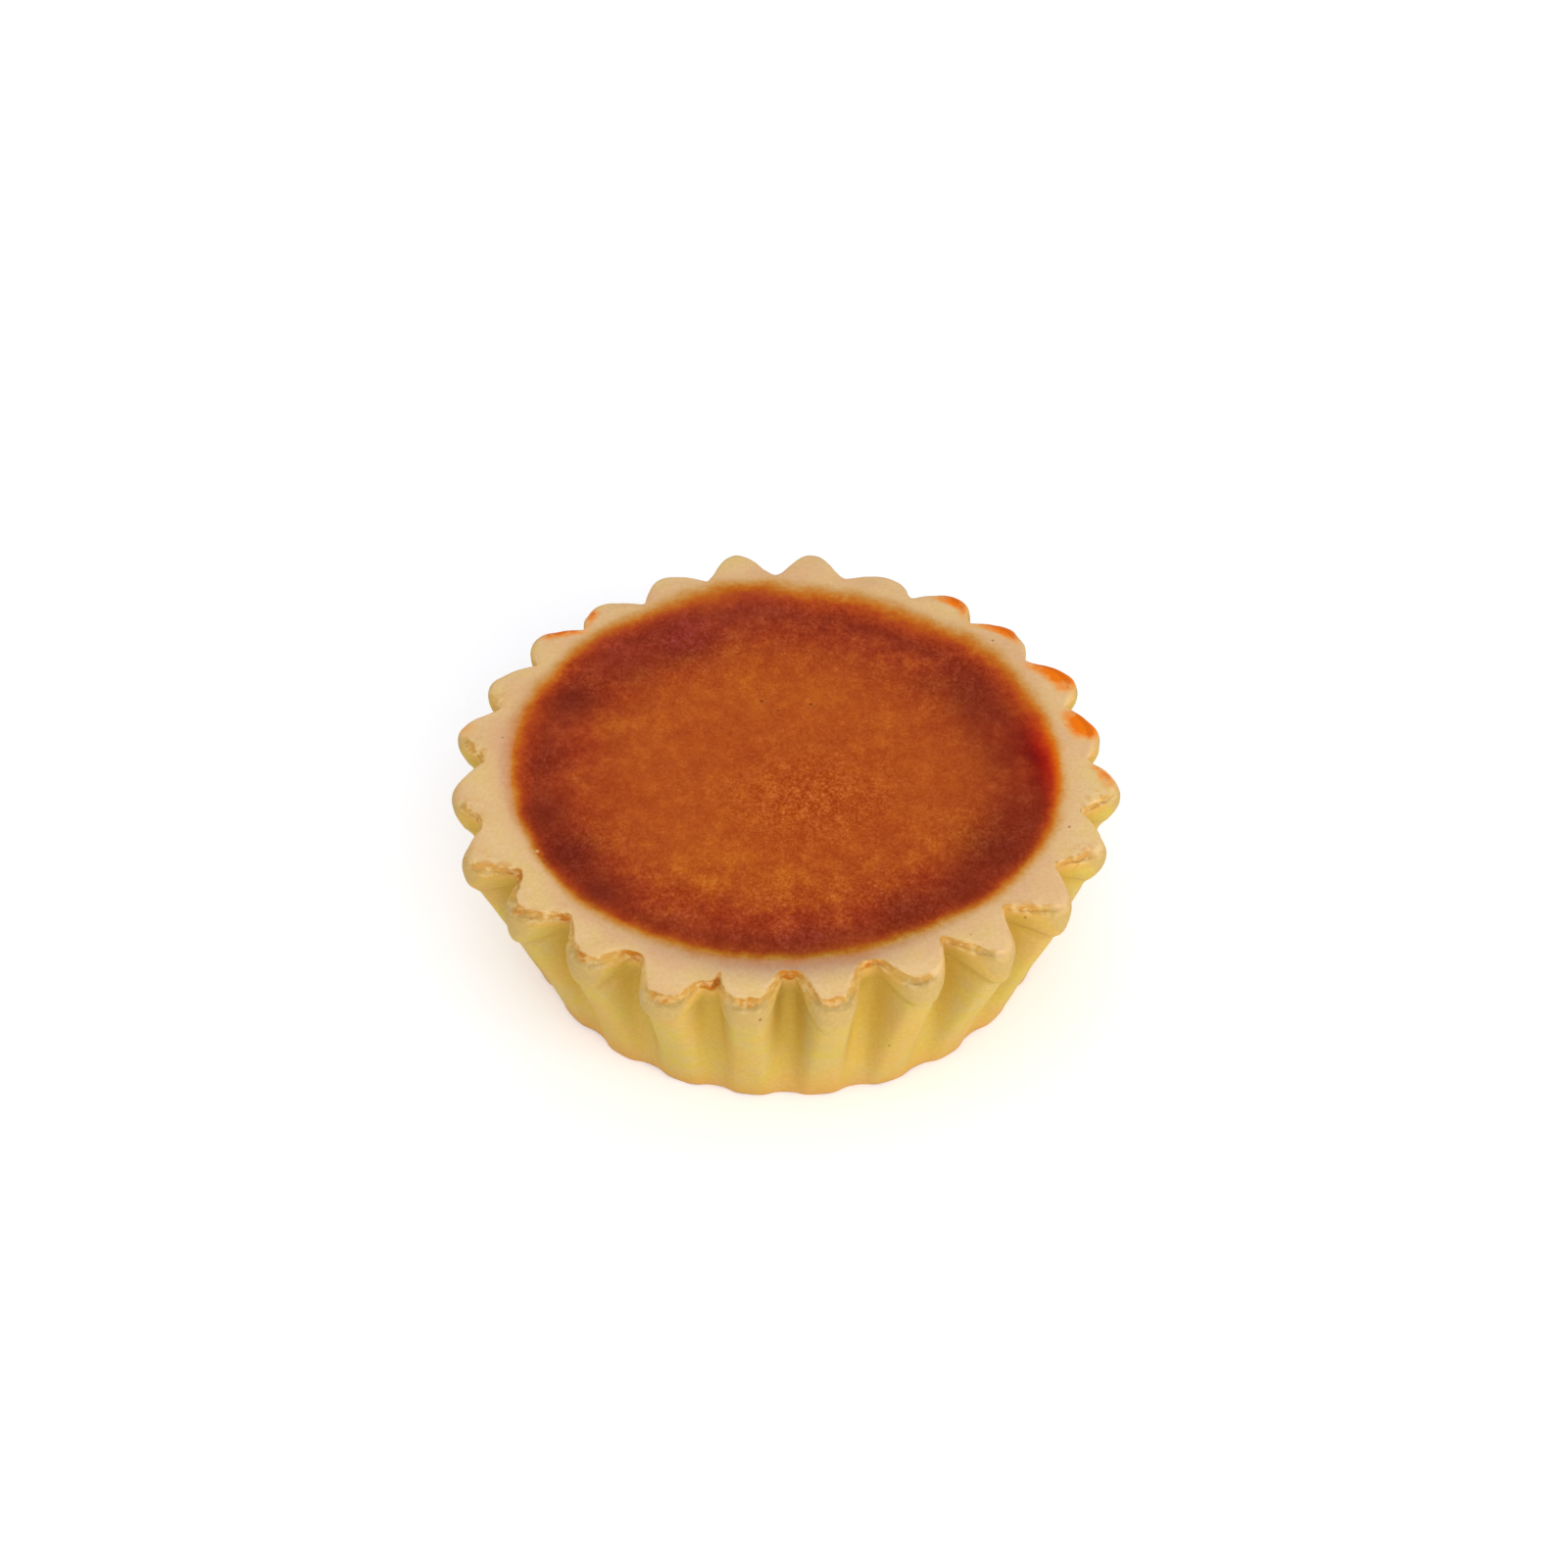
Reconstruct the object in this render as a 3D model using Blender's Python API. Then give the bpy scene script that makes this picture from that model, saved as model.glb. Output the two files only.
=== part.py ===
"""Egg pie: a fluted shortcrust shell, filled level with its rim by baked custard.

Two closed solids stand on z = 0, with the axis of the tin they were baked in on Z.
Lengths are given in millimetres and angles in degrees, and MM turns a length into
metres. The lobes of the rim are counted from +X, turning towards +Y.
"""

import math
from typing import NamedTuple

import bmesh
import bpy
from mathutils import Vector, noise

MM = 0.001

# The tin's form: 24 even flutes, almost flat at the base and deep at the top
PIE_HEIGHT = 23.1
LOBE_COUNT = 24
FIRST_LOBE_ANGLE = -7.5
LOBE_PITCH = 360.0 / LOBE_COUNT
BASE_CREST_RADIUS = 31.3
BASE_VALLEY_RADIUS = 30.65
BASE_EDGE_ROUND = 0.8
WALL_CREST_RADIUS = 37.0
WALL_VALLEY_RADIUS = 33.6
WALL_RINGS = 3

# The rim's outline, and the lip below it: deep on a crest, shallow in a valley
RIM_CREST_RADIUS = 38.4
RIM_VALLEY_RADIUS = 34.25
LIP_CREST_DEPTH = 5.1
LIP_VALLEY_DEPTH = 3.4
BEAD_TOP_DEPTH = 1.3
GROOVE_DEPTH = 1.0
GROOVE_INSET = 0.35
TORN_EDGE_DEPTH = 0.55
RIM_EDGE_DEPTH = 0.12

# The bead's section: share of the way down it, with its swell in a valley and on a crest
BEAD_SECTION = (
    (0.85, -0.45, -0.70),
    (0.55, 0.05, -0.10),
    (0.25, 0.25, 0.35),
    (0.05, 0.10, 0.50),
)

# The torn edge of the rim's top face: how far it is eaten back, most on the front
TEAR_MEAN = 0.3
TEAR_SWING = 0.3
TEAR_FRONT_ANGLE = 265.0
TORN_RAGGEDNESS = 0.3
TORN_GRAIN = 1.6

# How each lobe of the rim strays from its flute, in order round the pie
LOBE_TURNS = (
    2.4, 2.5, 2.3, 4.0, 3.1, 2.6, 2.5, 1.4, 0.5, 0.7, -0.7, -1.0,
    -2.2, -0.6, 1.2, 0.6, 1.4, 2.5, 1.3, 0.5, 2.0, 1.2, 1.2, 1.9,
)
LOBE_REACHES = (
    0.4, -1.0, -0.3, -0.9, -0.5, -0.9, 1.7, 2.0, 0.0, -0.7, -0.2, -0.2,
    0.5, 0.0, 0.8, 0.0, -0.3, 0.9, -0.2, -0.4, -0.5, 0.3, 0.4, 0.1,
)
# How far each valley lies outside the mean, the first one between lobes 0 and 1
VALLEY_REACHES = (
    0.9, 0.5, 0.2, 0.1, 0.2, 0.9, 0.9, 1.0, -0.1, 0.4, 0.6, 0.9,
    0.8, 1.6, -0.1, -0.5, -0.2, 0.5, -1.3, -1.5, -1.4, -0.8, 0.3, 0.5,
)
WALL_FLUTE_POWER = 0.85
RIM_FLUTE_POWER = 0.5
REACH_FLUTE_POWER = 0.2
LEAST_FLUTE_POWER = 0.35
VALLEY_SOFTNESS = 0.03
LOBE_DROOP = 0.15

# The round that the custard fills: nearly a circle, drawn out a little in places
HOLLOW_RADIUS = 31.8
HOLLOW_SWELLS = ((1, 0.45, 132.0), (2, 0.27, -84.0), (3, 0.25, -14.0))
HOLLOW_FLOOR_RADIUS = 27.6
HOLLOW_FLOOR_HEIGHT = 3.2
HOLLOW_CORNER_ROUND = 1.6
HOLLOW_EDGE_DEPTH = 0.2
RIM_CROWN = 0.05

# The custard's skin: risen in a low ring near the edge and sunk in the middle
CUSTARD_GAP = 0.3
SKIN_EDGE_DEPTH = 0.35
SKIN_RING_RADIUS = 0.84
SKIN_RING_RISE = 0.35
SKIN_RING_WIDTH = 0.16
SKIN_MIDDLE_DIP = 0.25
SKIN_RINGS = (0.97, 0.91, 0.84, 0.75, 0.62, 0.42, 0.2)

# Unevenness of the hand-pressed dough and of the skin
DOUGH_WOBBLE = 0.16
DOUGH_WOBBLE_SIZE = 9.0
SKIN_WOBBLE = 0.12
SKIN_WOBBLE_SIZE = 14.0

# Fineness of the meshes
SHELL_COLUMNS_PER_LOBE = 12
CUSTARD_COLUMNS_PER_LOBE = 4
VALLEY_CROWDING = 0.35
SMOOTH_ANGLE = 50.0

# Finishes: colour (linear RGB) and roughness
PASTRY_COLOUR = (0.68, 0.43, 0.17)
PASTRY_ROUGHNESS = 0.72
CUSTARD_COLOUR = (0.38, 0.075, 0.014)
CUSTARD_ROUGHNESS = 0.38


class Station(NamedTuple):
    """One level of the shell's outside.

    The depths are measured down from the rim, in a valley and on a crest, and the radii
    and swells are given for both too. A swell moves the outline along its own normal.
    lip is 0 where the wall follows the tin's even flutes and 1 where it has the rim's
    own lobes, and torn is 1 on the torn edge of the top face and 0 elsewhere.
    """

    valley_depth: float
    crest_depth: float
    valley_radius: float
    crest_radius: float
    lip: float
    valley_swell: float = 0.0
    crest_swell: float = 0.0
    torn: float = 0.0


def blend(start, end, share):
    """The value a share of the way from start to end."""
    return start + (end - start) * share


def smooth_share(share):
    """Ease a share so that it leaves 0 and reaches 1 gently."""
    return share * share * (3.0 - 2.0 * share)


def around(values, turn):
    """A value at any turn round the pie, eased between the values at whole turns."""
    before = math.floor(turn)
    share = smooth_share(turn - before)
    return blend(values[before % LOBE_COUNT], values[(before + 1) % LOBE_COUNT], share)


def flute(phase, power):
    """Height of the flute's wave, 0 in a valley (phase 0.5) and 1 on a crest (phase 0)."""
    wave = 0.5 + 0.5 * math.cos(2.0 * math.pi * phase)
    low = VALLEY_SOFTNESS ** power
    high = (1.0 + VALLEY_SOFTNESS) ** power
    return ((wave + VALLEY_SOFTNESS) ** power - low) / (high - low)


def lobe_phases(columns):
    """Places of the columns across one lobe, crowded towards its two valleys."""
    phases = []
    for column in range(columns):
        even = column / columns - 0.5
        crowding = VALLEY_CROWDING * math.sin(2.0 * math.pi * even) / (2.0 * math.pi)
        phases.append(even + crowding)
    return phases


def dough_wobble(x, y, z):
    """Low swelling of the dough's surface at a point."""
    place = Vector((x, y, z)) / DOUGH_WOBBLE_SIZE
    return DOUGH_WOBBLE * noise.noise(place)


def base_edge_stations():
    """The quarter round between the flat base and the wall."""
    stations = []
    for angle in (0.0, 45.0, 90.0):
        inward = BASE_EDGE_ROUND * (1.0 - math.sin(math.radians(angle)))
        depth = PIE_HEIGHT - BASE_EDGE_ROUND * (1.0 - math.cos(math.radians(angle)))
        stations.append(Station(
            depth, depth, BASE_VALLEY_RADIUS - inward, BASE_CREST_RADIUS - inward, 0.0))
    return stations


def wall_stations():
    """The straight flaring wall, up to where the bead begins."""
    stations = []
    bottom = PIE_HEIGHT - BASE_EDGE_ROUND
    for ring in range(1, WALL_RINGS + 1):
        share = ring / WALL_RINGS
        stations.append(Station(
            blend(bottom, LIP_VALLEY_DEPTH, share),
            blend(bottom, LIP_CREST_DEPTH, share),
            blend(BASE_VALLEY_RADIUS, WALL_VALLEY_RADIUS, share),
            blend(BASE_CREST_RADIUS, WALL_CREST_RADIUS, share),
            share))
    return stations


def bead_stations():
    """The rounded bead that swells over the wall, from its foot up."""
    stations = []
    for share, valley_swell, crest_swell in BEAD_SECTION:
        stations.append(Station(
            blend(BEAD_TOP_DEPTH, LIP_VALLEY_DEPTH, share),
            blend(BEAD_TOP_DEPTH, LIP_CREST_DEPTH, share),
            RIM_VALLEY_RADIUS, RIM_CREST_RADIUS, 1.0, valley_swell, crest_swell))
    return stations


def torn_edge_stations():
    """The shallow groove over the bead and the ragged edge of the rim's top face."""
    groove = Station(GROOVE_DEPTH, GROOVE_DEPTH, RIM_VALLEY_RADIUS, RIM_CREST_RADIUS,
                     1.0, -GROOVE_INSET, -GROOVE_INSET, 0.6)
    lower = Station(TORN_EDGE_DEPTH, TORN_EDGE_DEPTH, RIM_VALLEY_RADIUS, RIM_CREST_RADIUS,
                    1.0, torn=1.0)
    upper = lower._replace(valley_depth=RIM_EDGE_DEPTH, crest_depth=RIM_EDGE_DEPTH)
    return [groove, lower, upper]


def column_turns(columns_per_lobe):
    """Every column's turn round the pie, in lobes, with its lobe and its phase there."""
    turns = []
    for lobe in range(LOBE_COUNT):
        for phase in lobe_phases(columns_per_lobe):
            turns.append((lobe + phase, lobe, phase))
    return turns


def flute_direction(turn, lip):
    """Angle of a column from +X, which leans from the even flute to the rim's lobe."""
    even = FIRST_LOBE_ANGLE + turn * LOBE_PITCH
    return math.radians(even + lip * around(LOBE_TURNS, turn))


def tear_depth(x, y, torn):
    """How far the torn edge is eaten back at a point: more on the front, and ragged."""
    towards_front = math.cos(math.atan2(y, x) - math.radians(TEAR_FRONT_ANGLE))
    ragged = TORN_RAGGEDNESS * noise.noise(Vector((x, y, 0.0)) / TORN_GRAIN)
    return torn * (TEAR_MEAN + TEAR_SWING * towards_front + ragged)


def outline_point(station, turn, lobe, phase):
    """A point of the fluted outline at one station and column, and its flute's wave."""
    angle = flute_direction(turn, station.lip)
    reach = station.lip * LOBE_REACHES[lobe]
    rim_power = max(LEAST_FLUTE_POWER, RIM_FLUTE_POWER + REACH_FLUTE_POWER * reach)
    wave = flute(phase, blend(WALL_FLUTE_POWER, rim_power, station.lip))
    valley = station.valley_radius + station.lip * around(VALLEY_REACHES, turn - 0.5)
    radius = blend(valley, station.crest_radius + reach, wave)
    depth = blend(station.valley_depth, station.crest_depth, wave)
    height = PIE_HEIGHT - depth - station.lip * LOBE_DROOP * wave
    return Vector((radius * math.cos(angle), radius * math.sin(angle), height)), wave


def outer_ring(station):
    """All points of the shell's outside at one station.

    The outline is worked out first. Each point then moves along the outline's normal, by
    the station's swell and the dough's wobble, less what the tear eats away.
    """
    outline = [outline_point(station, *column)
               for column in column_turns(SHELL_COLUMNS_PER_LOBE)]
    ring = []
    for index, (point, wave) in enumerate(outline):
        before = outline[index - 1][0]
        after = outline[(index + 1) % len(outline)][0]
        along = after - before
        normal = Vector((along.y, -along.x, 0.0)).normalized()
        swell = blend(station.valley_swell, station.crest_swell, wave)
        swell += dough_wobble(*point) - wave * tear_depth(point.x, point.y, station.torn)
        ring.append((point + normal * swell) * MM)
    return ring


def hollow_radius(angle):
    """Radius of the custard's round at its top, in the direction of angle (radians)."""
    radius = HOLLOW_RADIUS
    for waves, swell, crest_angle in HOLLOW_SWELLS:
        radius += swell * math.cos(waves * angle - math.radians(crest_angle))
    return radius


def hollow_levels():
    """Levels of the hollow, from the rim down: height, share of the taper, corner inset."""
    corner = HOLLOW_FLOOR_HEIGHT + HOLLOW_CORNER_ROUND
    return [
        (PIE_HEIGHT - HOLLOW_EDGE_DEPTH, 0.0, 0.0),
        (corner, 1.0, 0.0),
        (HOLLOW_FLOOR_HEIGHT, 1.0, HOLLOW_CORNER_ROUND),
    ]


def hollow_ring(level, columns_per_lobe, inset, raised):
    """Points round the hollow at one of its levels, drawn in and up for the custard."""
    height, share, corner = level
    points = []
    for turn, _lobe, _phase in column_turns(columns_per_lobe):
        angle = flute_direction(turn, 0.0)
        radius = blend(hollow_radius(angle), HOLLOW_FLOOR_RADIUS, share) - corner - inset
        points.append(Vector((
            radius * math.cos(angle), radius * math.sin(angle), height + raised)) * MM)
    return points


def rim_top_ring(edge_ring):
    """The crown of the rim's top face, half way from its torn edge to the hollow."""
    points = []
    for outside in edge_ring:
        angle = math.atan2(outside.y, outside.x)
        radius = 0.5 * (outside.xy.length + hollow_radius(angle) * MM)
        height = (PIE_HEIGHT + RIM_CROWN) * MM
        points.append(Vector((radius * math.cos(angle), radius * math.sin(angle), height)))
    return points


def skin_height(share, x, y):
    """Height of the custard's skin at a share of the way from its middle to its edge."""
    ring = math.exp(-((share - SKIN_RING_RADIUS) / SKIN_RING_WIDTH) ** 2)
    dip = SKIN_MIDDLE_DIP * (1.0 - smooth_share(min(1.0, share / SKIN_RING_RADIUS)))
    swell = SKIN_WOBBLE * (1.0 - share) * noise.noise(Vector((x, y, 0.0)) / SKIN_WOBBLE_SIZE)
    return PIE_HEIGHT - SKIN_EDGE_DEPTH + SKIN_RING_RISE * ring - dip + swell


def skin_ring(share):
    """Points of the custard's skin at a share of the way from its middle to its edge."""
    points = []
    for turn, _lobe, _phase in column_turns(CUSTARD_COLUMNS_PER_LOBE):
        angle = flute_direction(turn, 0.0)
        radius = share * (hollow_radius(angle) - CUSTARD_GAP)
        x = radius * math.cos(angle)
        y = radius * math.sin(angle)
        points.append(Vector((x, y, skin_height(share, x, y))) * MM)
    return points


def add_ring(mesh, points):
    """Add a closed ring of edges through points and return its edges."""
    corners = [mesh.verts.new(point) for point in points]
    return [mesh.edges.new((corner, corners[(index + 1) % len(corners)]))
            for index, corner in enumerate(corners)]


def bridged_solid(rings):
    """Bridge a stack of rings into one closed body and cap its two ends."""
    mesh = bmesh.new()
    edges = [add_ring(mesh, points) for points in rings]
    for lower, upper in zip(edges, edges[1:]):
        bmesh.ops.bridge_loops(mesh, edges=lower + upper)
    for end in (edges[0], edges[-1]):
        bmesh.ops.edgeloop_fill(mesh, edges=end)
    bmesh.ops.recalc_face_normals(mesh, faces=mesh.faces)
    return mesh


def make_finish(name, colour, roughness):
    """A plain material from a colour and a roughness."""
    finish = bpy.data.materials.new(name)
    finish.use_nodes = True
    shader = finish.node_tree.nodes["Principled BSDF"]
    shader.inputs["Base Color"].default_value = (*colour, 1.0)
    shader.inputs["Roughness"].default_value = roughness
    shader.inputs["Metallic"].default_value = 0.0
    return finish


def make_object(name, mesh, finish):
    """Put a finished bmesh into a named, smooth-shaded object in the scene."""
    data = bpy.data.meshes.new(name)
    mesh.to_mesh(data)
    mesh.free()
    data.materials.append(finish)
    data.shade_smooth()
    data.set_sharp_from_angle(angle=math.radians(SMOOTH_ANGLE))
    item = bpy.data.objects.new(name, data)
    bpy.context.scene.collection.objects.link(item)
    return item


def build_shell():
    """The pastry: base, fluted wall, beaded lip, torn edge, top face and hollow."""
    stations = base_edge_stations() + wall_stations() + bead_stations() + torn_edge_stations()
    rings = [outer_ring(station) for station in stations]
    rings.append(rim_top_ring(rings[-1]))
    for level in hollow_levels():
        rings.append(hollow_ring(level, SHELL_COLUMNS_PER_LOBE, 0.0, 0.0))
    finish = make_finish("baked_pastry", PASTRY_COLOUR, PASTRY_ROUGHNESS)
    return make_object("pastry_shell", bridged_solid(rings), finish)


def build_custard():
    """The filling: as the hollow, with a small gap all round, up to its baked skin."""
    rings = []
    for level in reversed(hollow_levels()[1:]):
        rings.append(hollow_ring(level, CUSTARD_COLUMNS_PER_LOBE, CUSTARD_GAP, CUSTARD_GAP))
    rings.append(skin_ring(1.0))
    for share in SKIN_RINGS:
        rings.append(skin_ring(share))
    finish = make_finish("baked_custard", CUSTARD_COLOUR, CUSTARD_ROUGHNESS)
    return make_object("custard", bridged_solid(rings), finish)


def clear_scene():
    """Remove every object that the scene holds."""
    for item in list(bpy.data.objects):
        bpy.data.objects.remove(item, do_unlink=True)


def main():
    """Build the pie."""
    clear_scene()
    build_shell()
    build_custard()


main()
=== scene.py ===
"""The looks of an egg pie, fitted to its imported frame.

Two pieces stand for the frame's two solids: the fluted crust, with its torn and beaded
rim, and the custard baked level with it. Sizes are in millimetres and angles in degrees,
and a mesh is made in metres. The lobes of the rim are counted from +X, turning towards +Y.
"""

import itertools
import logging
import math
from dataclasses import dataclass, field
from enum import Enum
from typing import Mapping, NamedTuple, Sequence

import bpy
import numpy as np
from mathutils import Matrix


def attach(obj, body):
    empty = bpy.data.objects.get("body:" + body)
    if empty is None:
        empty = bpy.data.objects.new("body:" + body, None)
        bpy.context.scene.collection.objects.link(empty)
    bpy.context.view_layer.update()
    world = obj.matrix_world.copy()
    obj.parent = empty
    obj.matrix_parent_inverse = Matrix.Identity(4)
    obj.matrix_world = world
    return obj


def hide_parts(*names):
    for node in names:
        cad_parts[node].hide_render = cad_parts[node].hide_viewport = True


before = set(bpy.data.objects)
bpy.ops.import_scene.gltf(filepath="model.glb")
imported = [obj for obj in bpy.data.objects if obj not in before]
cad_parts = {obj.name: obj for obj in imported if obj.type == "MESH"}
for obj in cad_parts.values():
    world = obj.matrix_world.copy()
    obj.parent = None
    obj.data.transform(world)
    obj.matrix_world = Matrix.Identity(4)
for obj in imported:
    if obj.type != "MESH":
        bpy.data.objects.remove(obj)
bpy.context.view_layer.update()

MM = 0.001
LOG = logging.getLogger("egg_pie")

# Unevenness: how a cell's whole numbers and the seed are shuffled into a direction
CELL_FACTORS = (73856093, 19349663, 83492791)
SEED_FACTOR = 2654435761
SHUFFLE_RANGE = 1048573
SHUFFLE_FACTOR = 40503
DIRECTION_COUNT = 1024
# Unevenness: where its cells start, how far its layers are shifted, and its height
CELL_START = 17.3
LAYER_SHIFT = 31.7
FULL_HEIGHT = 1.7
# Finishes: the share of a dot's and of a round patch's radius that is evenly covered
DOT_CORE = 0.3
PATCH_CORE = 0.4
# What a length is at least, where it divides
TINY = 1e-9

Array = np.ndarray
Socket = bpy.types.NodeSocket
# Two, three or four numbers that are named where they are given
Pair = tuple[float, float]
Triple = tuple[float, float, float]
Quad = tuple[float, float, float, float]
# Where something leaves 0 and where it reaches 1
Span = Pair
# A bell in angle round the pie: its angle, width and strength
Bell = Triple


class Mark(str, Enum):
    """What a mesh notes at each vertex for its finish to read."""

    ZONE = "zone"
    CREST = "crest"
    TORN = "torn"
    SCRATCHED = "scratched"
    FRESHLY_TORN = "freshly_torn"
    BROWNED = "browned"
    INSIDE_EDGE = "inside_edge"
    DARKENED = "darkened"
    GOLDEN = "golden"
    GRAINY = "grainy"
    SHADED = "shaded"
    ROSY = "rosy"
    FIERY = "fiery"
    PLUM = "plum"


class Zone(float, Enum):
    """Places up the crust's section.

    It starts from 0 under the middle of the base, and goes on from the top face's edge to
    6 at the hollow's edge and 7 on its floor.
    """

    BASE_EDGE = 1.0
    BEAD_FOOT = 2.0
    BEAD_TOP = 3.0
    TOP_EDGE = 5.0


class Sum(str, Enum):
    """The sums that a finish works out on numbers."""

    ADD = "ADD"
    SUBTRACT = "SUBTRACT"
    MULTIPLY = "MULTIPLY"
    DIVIDE = "DIVIDE"


class Layer(str, Enum):
    """How one colour lies on another."""

    OVER = "MIX"
    STAIN = "MULTIPLY"
    TONE = "OVERLAY"


# Working out shapes


def blend(start: Array, end: Array, share: Array) -> Array:
    """The value a share of the way from start to end."""
    return start + (end - start) * share


def ease(value: Array, low: float, high: float) -> Array:
    """0 below low, 1 above high, and 3t^2 - 2t^3 between them.

    Args:
        value: Numbers to ease.
        low: Where the result leaves 0.
        high: Where the result reaches 1.

    Returns:
        The eased shares.
    """
    share = np.clip((value - low) / (high - low), 0.0, 1.0)
    return share * share * (3.0 - 2.0 * share)


def between(value: Array, rise: Span, fall: Span) -> Array:
    """1 between two places, eased up over the rise and down over the fall."""
    return ease(value, *rise) * (1.0 - ease(value, *fall))


def hump(distance: Array, width: float) -> Array:
    """A bell of height 1: e to the power of minus (distance / width) squared."""
    return np.exp(-np.square(distance / width))


def turned(angle: Array, centre: float) -> Array:
    """The angle from centre, in degrees, brought between -180 and 180."""
    return (angle - centre + 180.0) % 360.0 - 180.0


def bearing(places: Array) -> Array:
    """Angles of places from +X, in radians."""
    return np.arctan2(places[..., 1], places[..., 0])


def wrapped(angle: Array) -> Array:
    """An angle in radians, brought between minus and plus half a turn."""
    return (angle + math.pi) % (2.0 * math.pi) - math.pi


def sectors(angle: Array, bells: Sequence[Bell]) -> Array:
    """The sum of some bells in angle.

    Args:
        angle: Angles from +X, in degrees.
        bells: Each bell's angle, width and strength.

    Returns:
        One number for each angle.
    """
    return sum(strength * hump(turned(angle, centre), width)
               for centre, width, strength in bells)


def spots(places: Array, bells: Sequence[Quad]) -> Array:
    """The sum of some bells in distance, seen from above.

    Args:
        places: Points.
        bells: The angle and radius of each bell's middle, its width and its strength.

    Returns:
        One number for each point.
    """
    total = np.zeros(places.shape[:-1])
    for angle, radius, width, strength in bells:
        centre = on_circle(radius, math.radians(angle), 0.0)
        away = np.linalg.norm(places[..., :2] - centre[:2], axis=-1)
        total += strength * hump(away, width)
    return total


def on_circle(radius: Array, angle: Array, height: Array) -> Array:
    """Points from their radii, angles and heights.

    Args:
        radius: Distances from the axis.
        angle: Angles from +X, in radians.
        height: Heights.

    Returns:
        Points, with x, y and z on the last axis.
    """
    parts = (radius * np.cos(angle), radius * np.sin(angle), height)
    return np.stack(np.broadcast_arrays(*parts), axis=-1)


def around(values: Sequence[float], turn: Array) -> Array:
    """A value at any turn round the rim, eased between the values at whole turns.

    Args:
        values: One value for each lobe.
        turn: Turns round the pie, counted in lobes.

    Returns:
        The eased values.
    """
    table = np.asarray(values, float)
    before = np.floor(turn).astype(int)
    share = ease(turn - before, 0.0, 1.0)
    return blend(table[before % len(table)], table[(before + 1) % len(table)], share)


def through(keys: Array, places: Array, wanted: Array) -> Array:
    """Curves through key values that never swing past them.

    Between two keys the curve is the cubic with the keys' slopes at its ends. A key's
    slope is the harmonic mean of the slopes of its two spans, or 0 where they differ in
    sign, so that a run of equal keys stays straight.

    Args:
        keys: Key values, one row for each key and one column for each curve.
        places: Where the keys stand, rising.
        wanted: Places to read the curves at.

    Returns:
        One row for each wanted place and one column for each curve.
    """
    spans = np.diff(places)[:, None]
    rises = np.diff(keys, axis=0) / spans
    product = rises[:-1] * rises[1:]
    total = rises[:-1] + rises[1:]
    inner = np.where(product > 0.0, 2.0 * product / np.where(total == 0.0, 1.0, total), 0.0)
    slopes = np.vstack([rises[:1], inner, rises[-1:]])
    index = np.clip(np.searchsorted(places, wanted, side="right") - 1, 0, len(places) - 2)
    span = spans[index]
    t = (wanted[:, None] - places[index][:, None]) / span
    start = keys[index] * (1.0 + 2.0 * t) * (1.0 - t) ** 2
    start += slopes[index] * span * t * (1.0 - t) ** 2
    end = keys[index + 1] * t * t * (3.0 - 2.0 * t)
    end -= slopes[index + 1] * span * t * t * (1.0 - t)
    return start + end


@dataclass(frozen=True)
class Unevenness:
    """Soft random swelling in three dimensions, the same on every run.

    Its size is the width of one swelling. Finer layers may lie on the first, each half as
    wide and half as high as the one below.
    """

    seed: int
    size: float
    layers: int = 1
    height: float = 1.0

    def _directions(self, cells: Array) -> Array:
        """A fixed random direction for each whole-numbered cell corner.

        Args:
            cells: Whole numbers, with x, y and z on the last axis.

        Returns:
            Directions of length 1, in the same layout.
        """
        along_x, along_y, along_z = np.moveaxis(cells * CELL_FACTORS, -1, 0)
        mixed = (along_x ^ along_y ^ along_z) + self.seed * SEED_FACTOR
        choice = mixed % SHUFFLE_RANGE * SHUFFLE_FACTOR % DIRECTION_COUNT
        table = np.random.default_rng(self.seed).normal(size=(DIRECTION_COUNT, 3))
        return (table / np.linalg.norm(table, axis=1, keepdims=True))[choice]

    def _layer(self, places: Array, size: float) -> Array:
        """One layer of the swelling, from about -1 to 1.

        At each of the 8 corners of the cell round a place, the corner's direction is
        multiplied with the way from the corner to the place. The 8 products are blended
        by 6t^5 - 15t^4 + 10t^3 of the place's share along each side of the cell.

        Args:
            places: Points, with x, y and z on the last axis.
            size: Width of one swelling.

        Returns:
            One number for each point.
        """
        scaled = places / size + CELL_START
        cell = np.floor(scaled).astype(np.int64)
        within = scaled - cell
        share = within ** 3 * (within * (within * 6.0 - 15.0) + 10.0)
        total = np.zeros(places.shape[:-1])
        for corner in itertools.product((0, 1), repeat=3):
            offset = np.array(corner)
            product = ((within - offset) * self._directions(cell + offset)).sum(-1)
            total += product * np.prod(np.where(offset, share, 1.0 - share), axis=-1)
        return total * FULL_HEIGHT

    def at(self, places: Array) -> Array:
        """The swelling at places, with all its layers.

        Args:
            places: Points, with x, y and z on the last axis.

        Returns:
            One number for each point.
        """
        total = np.zeros(places.shape[:-1])
        for layer in range(self.layers):
            finer = 2 ** layer
            total += self._layer(places + LAYER_SHIFT * layer, self.size / finer) / finer
        return self.height * total


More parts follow.
